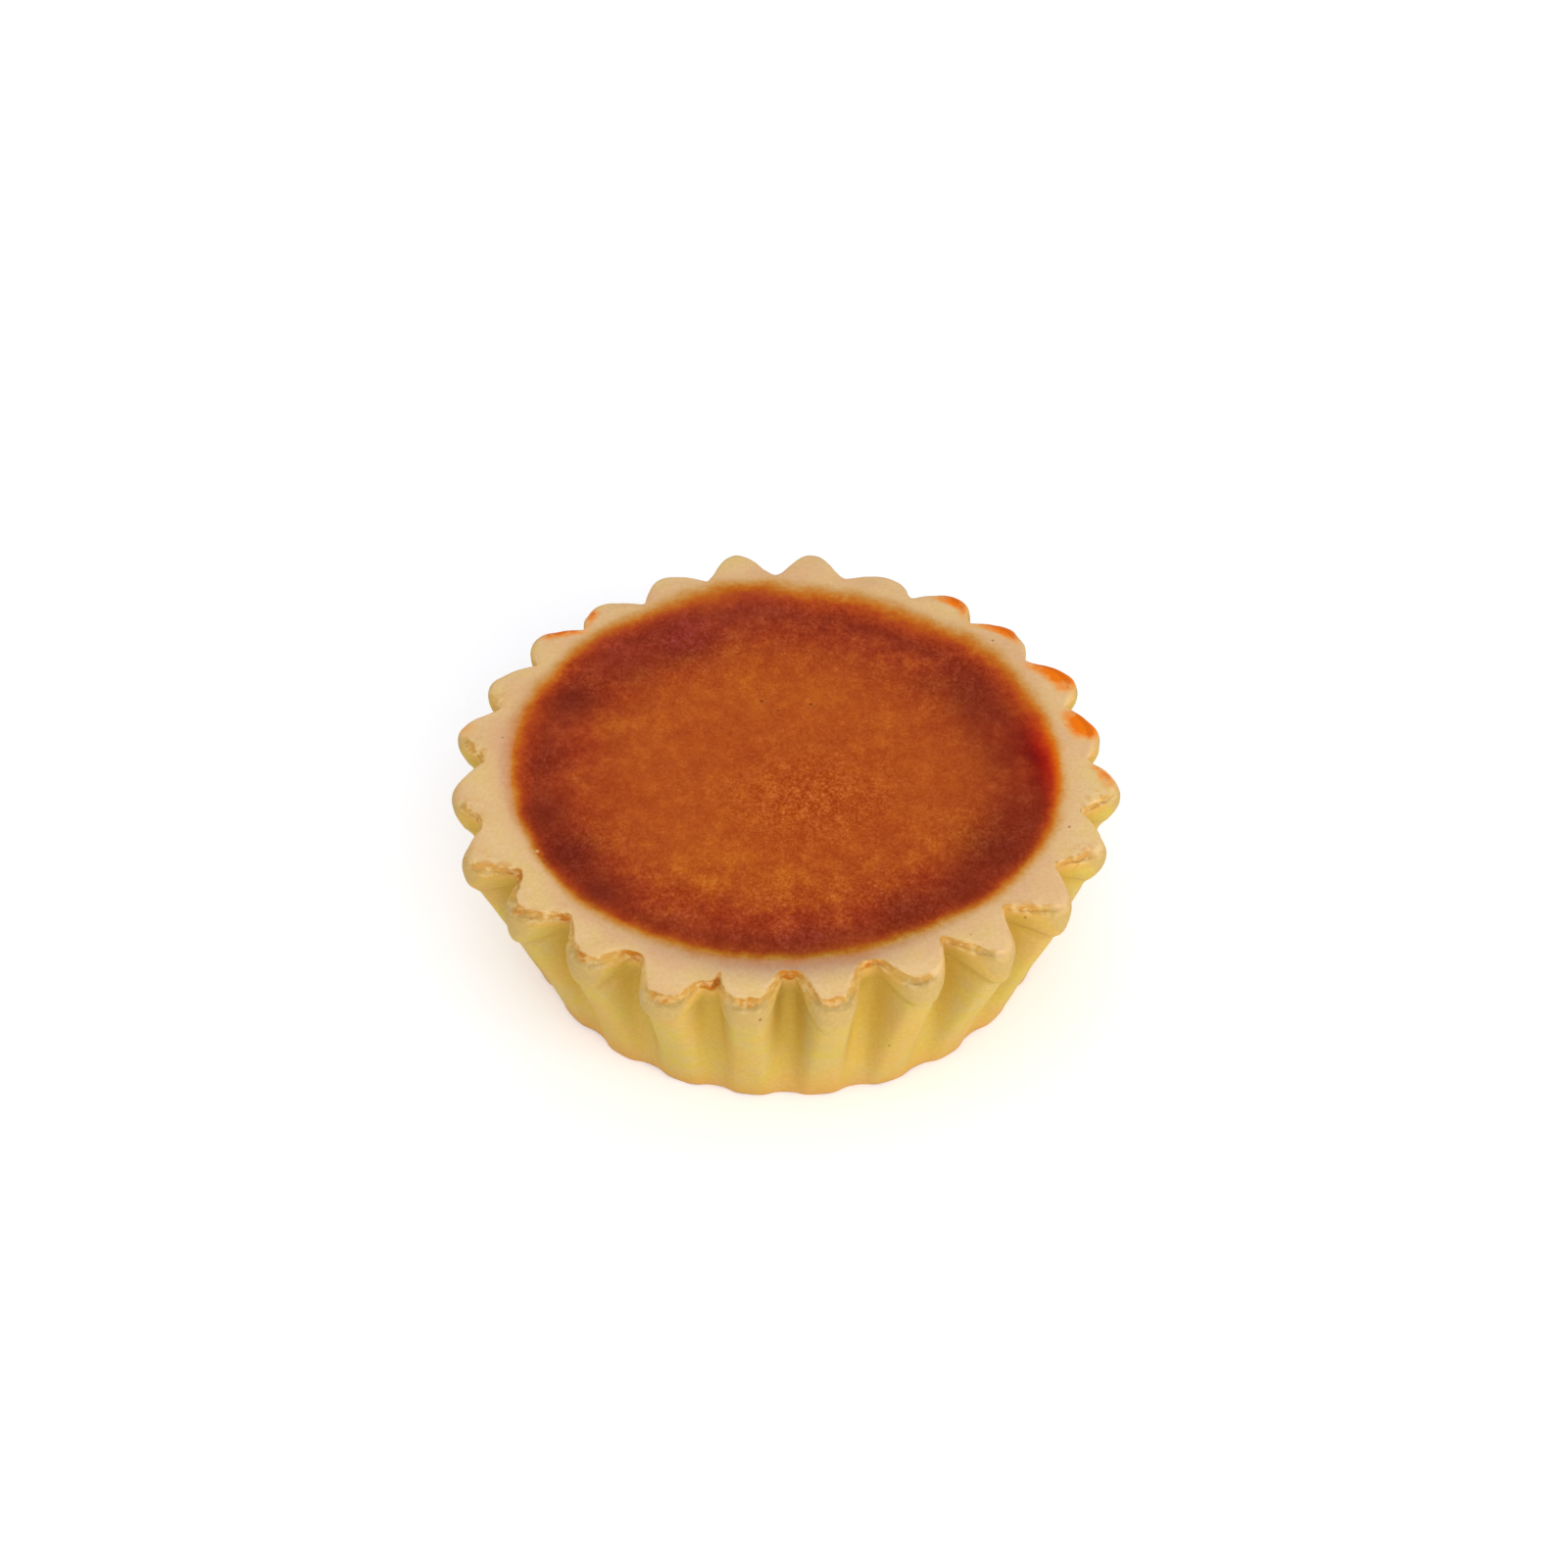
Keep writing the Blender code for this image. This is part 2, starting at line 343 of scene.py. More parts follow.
@dataclass
class ClosedSurface:
    """A closed skin: a grid of points with a pole below its first row and past its last.

    Rows run from the lower pole up the outside to the upper pole, and columns turn
    anticlockwise seen from above, so that the faces look outwards.
    """

    grid: Array
    marks: dict[Mark, Array] = field(default_factory=dict)

    def normals(self) -> Array:
        """Outward directions: the way round crossed with the way up, brought to length 1.

        Returns:
            One direction for each point.
        """
        round_way = np.roll(self.grid, -1, axis=1) - np.roll(self.grid, 1, axis=1)
        up_way = np.gradient(self.grid, axis=0)
        cross = np.cross(round_way, up_way)
        return cross / np.maximum(np.linalg.norm(cross, axis=-1, keepdims=True), TINY)

    def raise_by(self, height: Array) -> None:
        """Move each point outwards, along the skin's normal, by a height."""
        self.grid = self.grid + self.normals() * height[..., None]

    def _faces(self) -> list[list[int]]:
        """Quads between the rows, and fans of triangles round the two poles.

        Returns:
            The corners of each face.
        """
        rows, columns = self.grid.shape[:2]
        index = np.arange(rows * columns).reshape(rows, columns)
        beside = np.roll(index, -1, axis=1)
        quads = np.stack([index[:-1], beside[:-1], beside[1:], index[1:]], axis=-1)
        low = np.full(columns, rows * columns)
        fan_low = np.stack([low, beside[0], index[0]], axis=-1)
        fan_high = np.stack([index[-1], beside[-1], low + 1], axis=-1)
        return quads.reshape(-1, 4).tolist() + fan_low.tolist() + fan_high.tolist()

    def make(self, name: str) -> bpy.types.Object:
        """Make the skin an object at the origin, with its marks noted on its vertices.

        Args:
            name: The object's name.

        Returns:
            The new object, linked to the scene.
        """
        poles = np.stack([self.grid[0].mean(axis=0), self.grid[-1].mean(axis=0)])
        points = np.vstack([self.grid.reshape(-1, 3), poles]) * MM
        data = bpy.data.meshes.new(name)
        data.from_pydata(points.tolist(), [], self._faces())
        for mark, values in self.marks.items():
            full = np.broadcast_to(values, self.grid.shape[:2])
            ends = [full[0].mean(), full[-1].mean()]
            note = data.attributes.new(mark.value, "FLOAT", "POINT")
            note.data.foreach_set("value", np.append(full.ravel(), ends).astype(np.float32))
        data.shade_smooth()
        data.update()
        piece = bpy.data.objects.new(name, data)
        bpy.context.scene.collection.objects.link(piece)
        return piece


# Finishes


@dataclass(frozen=True)
class Colour:
    """A colour as red, green and blue from 0 to 255, as a screen shows it."""

    red: float
    green: float
    blue: float

    def linear(self) -> Quad:
        """Amounts of light, by ((c + 0.055) / 1.055) to the power of 2.4, and full cover."""
        parts = (np.array([self.red, self.green, self.blue]) / 255.0 + 0.055) / 1.055
        return (*(float(part) for part in parts ** 2.4), 1.0)


class Value:
    """A number that a finish works out, with the operators of arithmetic."""

    def __init__(self, bench: "Bench", socket: Socket) -> None:
        """Wrap a socket.

        Args:
            bench: Where the finish is made.
            socket: The socket that gives the number.
        """
        self.bench = bench
        self.socket = socket

    def _sum(self, kind: Sum, first: object, second: object) -> "Value":
        """The result of one sum on two numbers."""
        node = self.bench.node("ShaderNodeMath", {"operation": kind.value},
                               {0: first, 1: second})
        return Value(self.bench, node.outputs[0])

    def __add__(self, other: object) -> "Value":
        """This number plus another."""
        return self._sum(Sum.ADD, self, other)

    __radd__ = __add__

    def __sub__(self, other: object) -> "Value":
        """This number less another."""
        return self._sum(Sum.SUBTRACT, self, other)

    def __rsub__(self, other: object) -> "Value":
        """Another number less this one."""
        return self._sum(Sum.SUBTRACT, other, self)

    def __mul__(self, other: object) -> "Value":
        """This number times another."""
        return self._sum(Sum.MULTIPLY, self, other)

    __rmul__ = __mul__

    def __truediv__(self, other: object) -> "Value":
        """This number divided by another."""
        return self._sum(Sum.DIVIDE, self, other)

    def ease(self, low: float, high: float) -> "Value":
        """0 below low, 1 above high, and eased between them.

        Args:
            low: Where the result leaves 0.
            high: Where the result reaches 1.

        Returns:
            The eased share.
        """
        node = self.bench.node("ShaderNodeMapRange", {"interpolation_type": "SMOOTHSTEP"},
                               {"Value": self, "From Min": low, "From Max": high})
        return Value(self.bench, node.outputs[0])


class Bench:
    """Where one finish is made: its nodes, and the links between them."""

    def __init__(self, name: str) -> None:
        """Start an empty material with a Principled surface.

        Args:
            name: The material's name.
        """
        self.material = bpy.data.materials.new(name)
        self.material.use_nodes = True
        self.tree = self.material.node_tree
        self.surface = self.tree.nodes["Principled BSDF"]

    def node(self, kind: str, settings: Mapping[str, object],
             sockets: Mapping[object, object]) -> bpy.types.Node:
        """Add a node, set it, and then fill its sockets.

        Args:
            kind: The node's type.
            settings: Its own settings by name, or "stops" for a ramp's stops.
            sockets: A value, a colour or a link for each socket, by name or number.

        Returns:
            The new node.
        """
        made = self.tree.nodes.new(kind)
        for name, setting in settings.items():
            if name == "stops":
                self._set_stops(made.color_ramp, setting)
            else:
                setattr(made, name, setting)
        for name, given in sockets.items():
            self.feed(made.inputs[name], given)
        return made

    def _set_stops(self, ramp: bpy.types.ColorRamp,
                   stops: Sequence[tuple[float, Colour]]) -> None:
        """Give a ramp its stops.

        Args:
            ramp: A new ramp, which has two stops.
            stops: The place and colour of each stop.
        """
        for position, _colour in stops[2:]:
            ramp.elements.new(position)
        for element, (position, colour) in zip(ramp.elements, stops):
            element.position = position
            element.color = colour.linear()

    def feed(self, socket: Socket, given: object) -> None:
        """Put a value, a colour or a link into a socket.

        Args:
            socket: The socket to fill.
            given: What goes into it.
        """
        if isinstance(given, Value):
            given = given.socket
        if isinstance(given, Socket):
            self.tree.links.new(given, socket)
        elif isinstance(given, Colour):
            socket.default_value = given.linear()
        else:
            socket.default_value = given

    def place(self) -> Socket:
        """Object coordinates, in metres."""
        return self.node("ShaderNodeTexCoord", {}, {}).outputs["Object"]

    def stretched(self, place: Socket, amounts: Sequence[float]) -> Socket:
        """Coordinates scaled along X, Y and Z."""
        node = self.node("ShaderNodeMapping", {}, {"Vector": place, "Scale": amounts})
        return node.outputs[0]

    def mark(self, mark: Mark) -> Value:
        """What the mesh notes under a mark."""
        node = self.node("ShaderNodeAttribute", {"attribute_name": mark.value}, {})
        return Value(self, node.outputs["Fac"])

    def noise(self, place: Socket, size: float, detail: float = 2.0,
              roughness: float = 0.5) -> Value:
        """Cloudy noise from 0 to 1.

        Args:
            place: Coordinates to read it at.
            size: Width of its widest clouds, in millimetres.
            detail: How many finer layers lie on them.
            roughness: How strong the finer layers are.

        Returns:
            The noise.
        """
        node = self.node("ShaderNodeTexNoise", {}, {
            "Vector": place, "Scale": 1.0 / (size * MM), "Detail": detail,
            "Roughness": roughness})
        return Value(self, node.outputs[0])

    def dots(self, place: Socket, spacing: float, share: float) -> Value:
        """Scattered round dots: 1 at their middles and 0 between them.

        Args:
            place: Coordinates to read them at.
            spacing: Mean distance between dots, in millimetres.
            share: A dot's radius as a share of the spacing.

        Returns:
            The dots.
        """
        node = self.node("ShaderNodeTexVoronoi", {}, {
            "Vector": place, "Scale": 1.0 / (spacing * MM)})
        return 1.0 - Value(self, node.outputs["Distance"]).ease(DOT_CORE * share, share)

    def near(self, place: Socket, point: Sequence[float], radius: float) -> Value:
        """1 close round a point, falling to 0 at a radius.

        Args:
            place: Coordinates to read it at.
            point: The middle.
            radius: Where it ends.

        Returns:
            The round patch.
        """
        node = self.node("ShaderNodeVectorMath", {"operation": "DISTANCE"},
                         {0: place, 1: tuple(length * MM for length in point)})
        away = Value(self, node.outputs["Value"])
        return 1.0 - away.ease(PATCH_CORE * radius * MM, radius * MM)

    def mix(self, under: object, over: object, share: object,
            layer: Layer = Layer.OVER) -> Socket:
        """Lay one colour on another.

        Args:
            under: The colour below.
            over: The colour above.
            share: How much the upper one covers, from 0 to 1.
            layer: How it lies on the lower one.

        Returns:
            The colour that shows.
        """
        node = self.node("ShaderNodeMix", {"data_type": "RGBA", "blend_type": layer.value},
                         {0: share, 6: under, 7: over})
        return node.outputs[2]

    def ramp(self, share: Value, stops: Sequence[tuple[float, Colour]]) -> Socket:
        """A colour that changes with a share, through its stops."""
        return self.node("ShaderNodeValToRGB", {"stops": stops}, {0: share}).outputs[0]

    def relief(self, height: Value, depth: float, strength: float) -> None:
        """Let a height from 0 to 1 bend the surface's light.

        Args:
            height: The relief's height.
            depth: How deep the relief is, in millimetres.
            strength: How much of it shows.
        """
        node = self.node("ShaderNodeBump", {}, {
            "Strength": strength, "Distance": depth * MM, "Height": height})
        self.feed(self.surface.inputs["Normal"], node.outputs[0])

    def finished(self, colour: object, roughness: object,
                 sheen: float) -> bpy.types.Material:
        """Give the surface its colour, roughness and sheen.

        Args:
            colour: The surface's colour.
            roughness: Its roughness.
            sheen: How much it reflects, from 0 to 1.

        Returns:
            The finished material.
        """
        self.feed(self.surface.inputs["Base Color"], colour)
        self.feed(self.surface.inputs["Roughness"], roughness)
        self.surface.inputs["Specular IOR Level"].default_value = sheen
        return self.material


@dataclass(frozen=True)
class Baking:
    """How the colour changes across the custard's edge, from the crust inwards.

    A stop is a distance inside the edge, and the red, green and blue there. The edge is
    strayed by two noises, each with its width and how far it strays.
    """

    start: float = -2.4
    span: float = 17.4
    stops: tuple[Quad, ...] = (
        (-2.2, 220, 184, 128), (-1.4, 215, 174, 122), (-0.85, 208, 156, 95),
        (-0.55, 202, 137, 63), (-0.32, 197, 119, 41), (-0.15, 192, 104, 24),
        (0.05, 184, 90, 18), (0.3, 174, 68, 18), (0.6, 159, 58, 17),
        (1.0, 149, 51, 17), (1.7, 139, 48, 19), (3.0, 144, 51, 21),
        (4.2, 152, 56, 21), (5.6, 156, 59, 21), (7.5, 162, 67, 21),
        (10.0, 167, 72, 21), (14.0, 173, 78, 21))
    # The same where the oven caught it most, from the edge inwards
    fiery_stops: tuple[Quad, ...] = (
        (-2.2, 224, 188, 130), (-1.0, 216, 160, 98), (-0.7, 213, 139, 64),
        (-0.4, 214, 113, 10), (-0.2, 210, 97, 0), (0.0, 203, 80, 0),
        (0.2, 193, 64, 0), (0.4, 184, 52, 0), (0.7, 168, 32, 0),
        (1.0, 152, 22, 0), (1.5, 130, 11, 0), (2.1, 124, 19, 2),
        (3.0, 138, 38, 12), (4.2, 150, 50, 16), (7.5, 162, 66, 21),
        (14.0, 173, 78, 21))
    broad_size: float = 3.4
    broad_stray: float = 0.9
    close_size: float = 0.8
    close_stray: float = 0.65

    def distance(self, bench: Bench, place: Socket) -> Value:
        """How far a point lies inside the custard's edge.

        Args:
            bench: Where the finish is made.
            place: Coordinates of the point.

        Returns:
            Millimetres, below 0 on the crust.
        """
        broad = bench.noise(place, self.broad_size, 1.0)
        close = bench.noise(place, self.close_size, 2.0, 0.6)
        straying = (broad - 0.5) * self.broad_stray + (close - 0.5) * self.close_stray
        return bench.mark(Mark.INSIDE_EDGE) + straying

    def colour(self, bench: Bench, distance: Value) -> Socket:
        """The baked colour at a distance inside the edge.

        Args:
            bench: Where the finish is made.
            distance: How far a point lies inside the edge.

        Returns:
            The colour, fiery where the heat caught the edge.
        """
        share = (distance - self.start) / self.span
        plain, fiery = (bench.ramp(share, [((place - self.start) / self.span, Colour(*parts))
                                           for place, *parts in stops])
                        for stops in (self.stops, self.fiery_stops))
        return bench.mix(plain, fiery, bench.mark(Mark.FIERY))


@dataclass(frozen=True)
class Dough:
    """What the crust's finish reads at each point: some of its marks, and its noises."""

    place: Socket
    zone: Value
    fresh: Value
    scratched: Value
    loose: Value
    warmth: Value
    butter: Value
    sand: Value
    patchy: Value


@dataclass(frozen=True)
class CrustFinish:
    """Pale shortcrust: cream on top, ochre on the wall, orange where it is torn."""

    baking: Baking = Baking()
    top: Colour = Colour(226, 190, 138)
    top_buttery: Colour = Colour(225, 191, 130)
    top_rosy: Colour = Colour(220, 174, 132)
    wall: Colour = Colour(195, 167, 96)
    wall_buttery: Colour = Colour(196, 169, 81)
    wall_warm: Colour = Colour(203, 160, 84)
    # Olive dough deep in the flutes: partly its own colour, partly painted shade
    wall_valley: Colour = Colour(197, 161, 67)
    bead: Colour = Colour(188, 157, 95)
    # The bead on a lobe's flanks: warmer ochre, painted bounce light in their shade
    bead_flank_bounce: Colour = Colour(204, 161, 81)
    torn: Colour = Colour(196, 149, 76)
    torn_deep: Colour = Colour(184, 108, 18)
    singed: Colour = Colour(236, 154, 70)
    browned: Colour = Colour(240, 120, 6)
    scorched: Colour = Colour(196, 84, 10)
    shade: Colour = Colour(226, 228, 238)
    mauve: Colour = Colour(210, 150, 128)
    scratch: Colour = Colour(208, 152, 84)
    crumb: Colour = Colour(230, 198, 142)
    base: Colour = Colour(200, 144, 76)
    base_edge: Colour = Colour(140, 104, 66)
    speck: Colour = Colour(150, 96, 52)
    # Specks baked into the dough: x, y, z and radius
    specks: tuple[Quad, ...] = (
        (-2.6, -38.3, 20.85, 0.32), (11.7, -31.5, 9.25, 0.24), (25.4, 22.5, 23.05, 0.24),
        (32.4, -10.5, 23.1, 0.22), (-30.5, -6.6, 23.1, 0.24), (-33.2, 4.7, 23.1, 0.18),
        (26.7, -23.6, 21.8, 0.3), (20.4, -27.6, 23.0, 0.16), (-24.2, -24.9, 14.0, 0.2))
    # A stain of fine sand over everything
    grain: tuple[tuple[float, Colour], ...] = (
        (0.3, Colour(245, 242, 230)), (0.64, Colour(255, 255, 255)))
    roughness: float = 0.66
    roughness_swing: float = 0.14
    torn_roughness: float = 0.15
    sheen: float = 0.05
    # Widths of the noises, from the broadest to the finest
    warmth_size: float = 8.0
    butter_size: float = 3.2
    patch_size: float = 1.0
    patch_stretch: Triple = (1.0, 1.0, 1.6)
    sand_size: float = 0.5
    fine_size: float = 0.28
    relief_depth: float = 0.1
    relief_strength: float = 0.45

    def _read(self, bench: Bench) -> Dough:
        """Read the marks and make the noises.

        Args:
            bench: Where the finish is made.

        Returns:
            What the finish reads at each point.
        """
        place = bench.place()
        zone = bench.mark(Mark.ZONE)
        patches = bench.stretched(place, self.patch_stretch)
        torn = bench.mark(Mark.TORN)
        return Dough(
            place, zone, bench.mark(Mark.FRESHLY_TORN), bench.mark(Mark.SCRATCHED),
            torn * zone.ease(3.2, 3.8) * (1.0 - zone.ease(4.9, 5.1)),
            bench.noise(place, self.warmth_size),
            bench.noise(place, self.butter_size, 2.0, 0.6),
            bench.noise(place, self.sand_size, 3.0, 0.7),
            bench.noise(patches, self.patch_size, 2.0, 0.55))

    def _wall(self, bench: Bench, dough: Dough) -> Socket:
        """The wall's colour: pale ribs, olive valleys darkened partly by painted shade, and
        a pale band under the edge, warmed on the flanks by painted bounce light.

        Args:
            bench: Where the finish is made.
            dough: What is read at each point.

        Returns:
            The colour.
        """
        zone = dough.zone
        crest = bench.mark(Mark.CREST)
        wall = bench.mix(self.wall, self.wall_buttery, dough.butter.ease(0.4, 0.6))
        wall = bench.mix(wall, self.wall_warm, dough.warmth.ease(0.45, 0.65) * 0.6)
        # Valleys turn olive: partly the dough's colour, partly painted shade, deepest near
        # the top of the wall
        valley_tint_and_shade = (1.0 - crest).ease(0.3, 0.75) * zone.ease(0.9, 1.8)
        wall = bench.mix(wall, self.wall_valley, valley_tint_and_shade * 0.85)
        # On the flanks the bead takes a warmer ochre: painted bounce light in the shade
        # there
        arch = (1.0 - crest).ease(0.8, 1.0) * 0.5 + crest.ease(0.7, 1.0) * 0.75
        bead = bench.mix(self.bead_flank_bounce, self.bead, crest.ease(0.55, 0.95))
        return bench.mix(wall, bead, (zone + arch).ease(2.8, 3.4))

    def _top(self, bench: Bench, dough: Dough) -> Socket:
        """The top face's colour, rosier and then browned towards the custard.

        Args:
            bench: Where the finish is made.
            dough: What is read at each point.

        Returns:
            The colour.
        """
        inside = self.baking.distance(bench, dough.place)
        top = bench.mix(self.top, self.top_buttery, dough.butter.ease(0.42, 0.6))
        rosy = dough.warmth.ease(0.45, 0.65) * 0.5 + inside.ease(-4.0, -1.2) * 0.5
        top = bench.mix(top, self.top_rosy, rosy)
        top = bench.mix(top, self.baking.colour(bench, inside), inside.ease(-2.0, -0.8))
        top = bench.mix(top, self.mauve, bench.mark(Mark.ROSY))
        return bench.mix(top, self.shade, bench.mark(Mark.SHADED), Layer.STAIN)

    def _torn(self, bench: Bench, dough: Dough, colour: Socket) -> Socket:
        """Lay the torn dough, its scratches and its crumbs on a colour.

        Args:
            bench: Where the finish is made.
            dough: What is read at each point.
            colour: The colour below.

        Returns:
            The colour that shows.
        """
        fresh = dough.fresh
        crumbly = fresh + (dough.sand - 0.5) * 0.7 + (dough.patchy - 0.5) * 1.3
        share = crumbly.ease(0.05, 0.6) * fresh.ease(0.0, 0.3)
        colour = bench.mix(colour, self.torn, share)
        share = crumbly.ease(0.55, 1.15) * fresh.ease(0.2, 0.6) * 0.9
        colour = bench.mix(colour, self.torn_deep, share)
        share = dough.scratched * dough.patchy.ease(0.42, 0.64) * 0.7
        colour = bench.mix(colour, self.scratch, share)
        rough = dough.scratched * 0.6 + dough.loose * 0.4
        return bench.mix(colour, self.crumb, rough * (1.0 - dough.patchy).ease(0.44, 0.68))

    def _browned(self, bench: Bench, dough: Dough, colour: Socket) -> Socket:
        """Brown a colour where the heat caught the rim, most along its very edge.

        Args:
            bench: Where the finish is made.
            dough: What is read at each point.
            colour: The colour below.

        Returns:
            The colour that shows.
        """
        patches = dough.patchy * 1.8 + 0.2
        browned = bench.mark(Mark.BROWNED) * patches + (dough.sand - 0.5) * 0.35
        colour = bench.mix(colour, self.singed, browned.ease(0.1, 0.6) * 0.75)
        colour = bench.mix(colour, self.browned, browned.ease(0.35, 1.15))
        rim_line = dough.zone.ease(4.3, 4.8) * (1.0 - dough.zone.ease(5.0, 5.06))
        return bench.mix(colour, self.scorched, browned.ease(0.3, 0.9) * rim_line * 0.4)

    def _darker_at_base(self, bench: Bench, dough: Dough, colour: Socket) -> Socket:
        """Darken a colour towards and under the base, and in broken patches along the base's
        edge.

        Args:
            bench: Where the finish is made.
            dough: What is read at each point.
            colour: The colour below.

        Returns:
            The colour that shows.
        """
        under = 1.0 - dough.zone.ease(0.75, 1.3)
        colour = bench.mix(colour, self.base, under * (0.5 + dough.butter * 0.8))
        base_edge_patches = (1.0 - dough.zone.ease(0.86, 0.98)) * dough.butter.ease(0.46, 0.56)
        return bench.mix(colour, self.base_edge, base_edge_patches * 0.8)

    def make(self) -> bpy.types.Material:
        """Make the material.

        Returns:
            The crust's material.
        """
        bench = Bench("baked_shortcrust")
        dough = self._read(bench)
        smooth = (1.0 - bench.mark(Mark.TORN)).ease(0.3, 0.9)
        torn_top = dough.zone.ease(4.7, 4.95) * (1.0 - smooth)
        on_top = torn_top + dough.zone.ease(3.0, 4.8) * smooth
        colour = bench.mix(self._wall(bench, dough), self._top(bench, dough), on_top)
        for lay in (self._torn, self._browned, self._darker_at_base):
            colour = lay(bench, dough, colour)
        for *speck, radius in self.specks:
            colour = bench.mix(colour, self.speck,
                               bench.near(dough.place, speck, radius) * 0.85)
        colour = bench.mix(colour, bench.ramp(dough.sand, self.grain), 1.0, Layer.STAIN)
        fine = bench.noise(dough.place, self.fine_size, 2.0, 0.6)
        level = 1.0 - bench.mark(Mark.INSIDE_EDGE).ease(-1.6, -0.7)
        sandy = (0.3 + on_top * 0.2) * level + dough.fresh * 1.2
        sandy = sandy + dough.loose * 0.6 + dough.scratched * 1.2
        bench.relief((dough.sand * 0.6 + fine * 0.4) * sandy,
                     self.relief_depth, self.relief_strength)
        rough = self.roughness + (dough.sand - 0.5) * self.roughness_swing
        return bench.finished(colour, rough + dough.fresh * self.torn_roughness, self.sheen)


@dataclass(frozen=True)
class CustardFinish:
    """Baked custard: a browned satin skin, darkest in a ring and golden at its edge."""

    baking: Baking = Baking()
    golden: Colour = Colour(186, 96, 23)
    russet: Colour = Colour(150, 44, 8)
    charred: Colour = Colour(96, 24, 13)
    plum: Colour = Colour(144, 48, 38)
    shade: Colour = Colour(224, 252, 255)
    # A pit's dark centre is painted shade in its hollow, and its paler ring a painted
    # highlight on its rim
    pit_shade: Colour = Colour(118, 36, 6)
    pit_rim_highlight: Colour = Colour(196, 106, 34)
    chip: Colour = Colour(204, 166, 114)
    # Tones are laid so that (188, 188, 188) changes nothing
    mottle: tuple[tuple[float, Colour], ...] = (
        (0.34, Colour(172, 152, 128)), (0.50, Colour(188, 188, 188)),
        (0.66, Colour(203, 217, 232)))
    grain: tuple[tuple[float, Colour], ...] = (
        (0.37, Colour(174, 150, 50)), (0.50, Colour(188, 188, 188)),
        (0.61, Colour(202, 217, 255)))
    # Light dots in the grain: partly painted glints of the skin's sheen, partly pale specks
    # in it
    dot_glints: tuple[tuple[float, Colour], ...] = (
        (0.0, Colour(182, 175, 148)), (1.0, Colour(199, 211, 250)))
    # Pits in the skin and a chip of crust on it: x, y, z and radius
    pits: tuple[Quad, ...] = (
        (-2.77, 11.52, 22.9, 0.36), (3.08, 10.98, 22.9, 0.34), (-0.78, 9.92, 22.9, 0.3))
    chips: tuple[Quad, ...] = ((-27.95, -14.51, 23.05, 0.32),)
    roughness: float = 0.6
    roughness_swing: float = 0.2
    sheen: float = 0.05
    # Widths of the noises, drawn out along Y, from the broadest to the finest
    stretch: Triple = (1.0, 0.8, 1.0)
    drift_size: float = 6.0
    mottle_size: float = 1.7
    grain_size: float = 0.58
    fine_size: float = 0.27
    dot_spacing: float = 0.5
    dot_share: float = 0.6
    pit_rim_share: float = 2.2
    relief_depth: float = 0.1
    relief_strength: float = 0.3

    def _browned(self, bench: Bench, inside: Value, drift: Value,
                 mottle: Value) -> Socket:
        """The skin's colour before its grain: baked, then golden and russet in places.

        Args:
            bench: Where the finish is made.
            inside: How far a point lies inside the custard's edge.
            drift: The broadest clouds.
            mottle: The next clouds.

        Returns:
            The colour.
        """
        deep = inside.ease(1.2, 5.0)
        strayed = inside + ((drift - 0.5) * 3.0 + (mottle - 0.5) * 2.0) * deep
        colour = self.baking.colour(bench, strayed)
        golden = mottle.ease(0.5, 0.68) * deep * 0.15 + bench.mark(Mark.GOLDEN) * mottle
        colour = bench.mix(colour, self.golden, golden)
        colour = bench.mix(colour, self.russet, (1.0 - drift).ease(0.48, 0.66) * deep * 0.2)
        darkened = bench.mark(Mark.DARKENED) * (0.6 + drift * 0.8) * (0.6 + mottle * 0.8)
        return bench.mix(colour, self.charred, darkened.ease(0.1, 1.2) * 0.8)

    def _dotted(self, bench: Bench, place: Socket, colour: Socket) -> Socket:
        """Lay the pits, with painted shade in their hollows and a painted highlight round
        their rims, and the chips on a colour.

        Args:
            bench: Where the finish is made.
            place: Coordinates of the point.
            colour: The colour below.

        Returns:
            The colour that shows.
        """
        for *spot, radius in self.pits:
            rim = bench.near(place, spot, self.pit_rim_share * radius)
            colour = bench.mix(colour, self.pit_rim_highlight, rim * 0.3)
            colour = bench.mix(colour, self.pit_shade, bench.near(place, spot, radius) * 0.8)
        for *spot, radius in self.chips:
            colour = bench.mix(colour, self.chip, bench.near(place, spot, radius) * 0.9)
        return colour

    def make(self) -> bpy.types.Material:
        """Make the material.

        Returns:
            The custard's material.
        """
        bench = Bench("baked_custard_skin")
        place = bench.place()
        drawn = bench.stretched(place, self.stretch)
        drift = bench.noise(drawn, self.drift_size)
        mottle = bench.noise(drawn, self.mottle_size)
        grain = bench.noise(drawn, self.grain_size, 2.0, 0.75)
        fine = bench.noise(drawn, self.fine_size, 1.0)
        inside = self.baking.distance(bench, place)
        skin = inside.ease(0.0, 0.9)
        ring = skin * (1.0 - inside.ease(5.0, 9.0))
        colour = self._browned(bench, inside, drift, mottle)
        colour = bench.mix(colour, self.plum, bench.mark(Mark.PLUM) * (0.5 + grain))
        clouded = skin * 0.35 + ring * 0.35
        colour = bench.mix(colour, bench.ramp(mottle, self.mottle), clouded, Layer.TONE)
        grained = skin * 0.27 + bench.mark(Mark.GRAINY) * 0.55
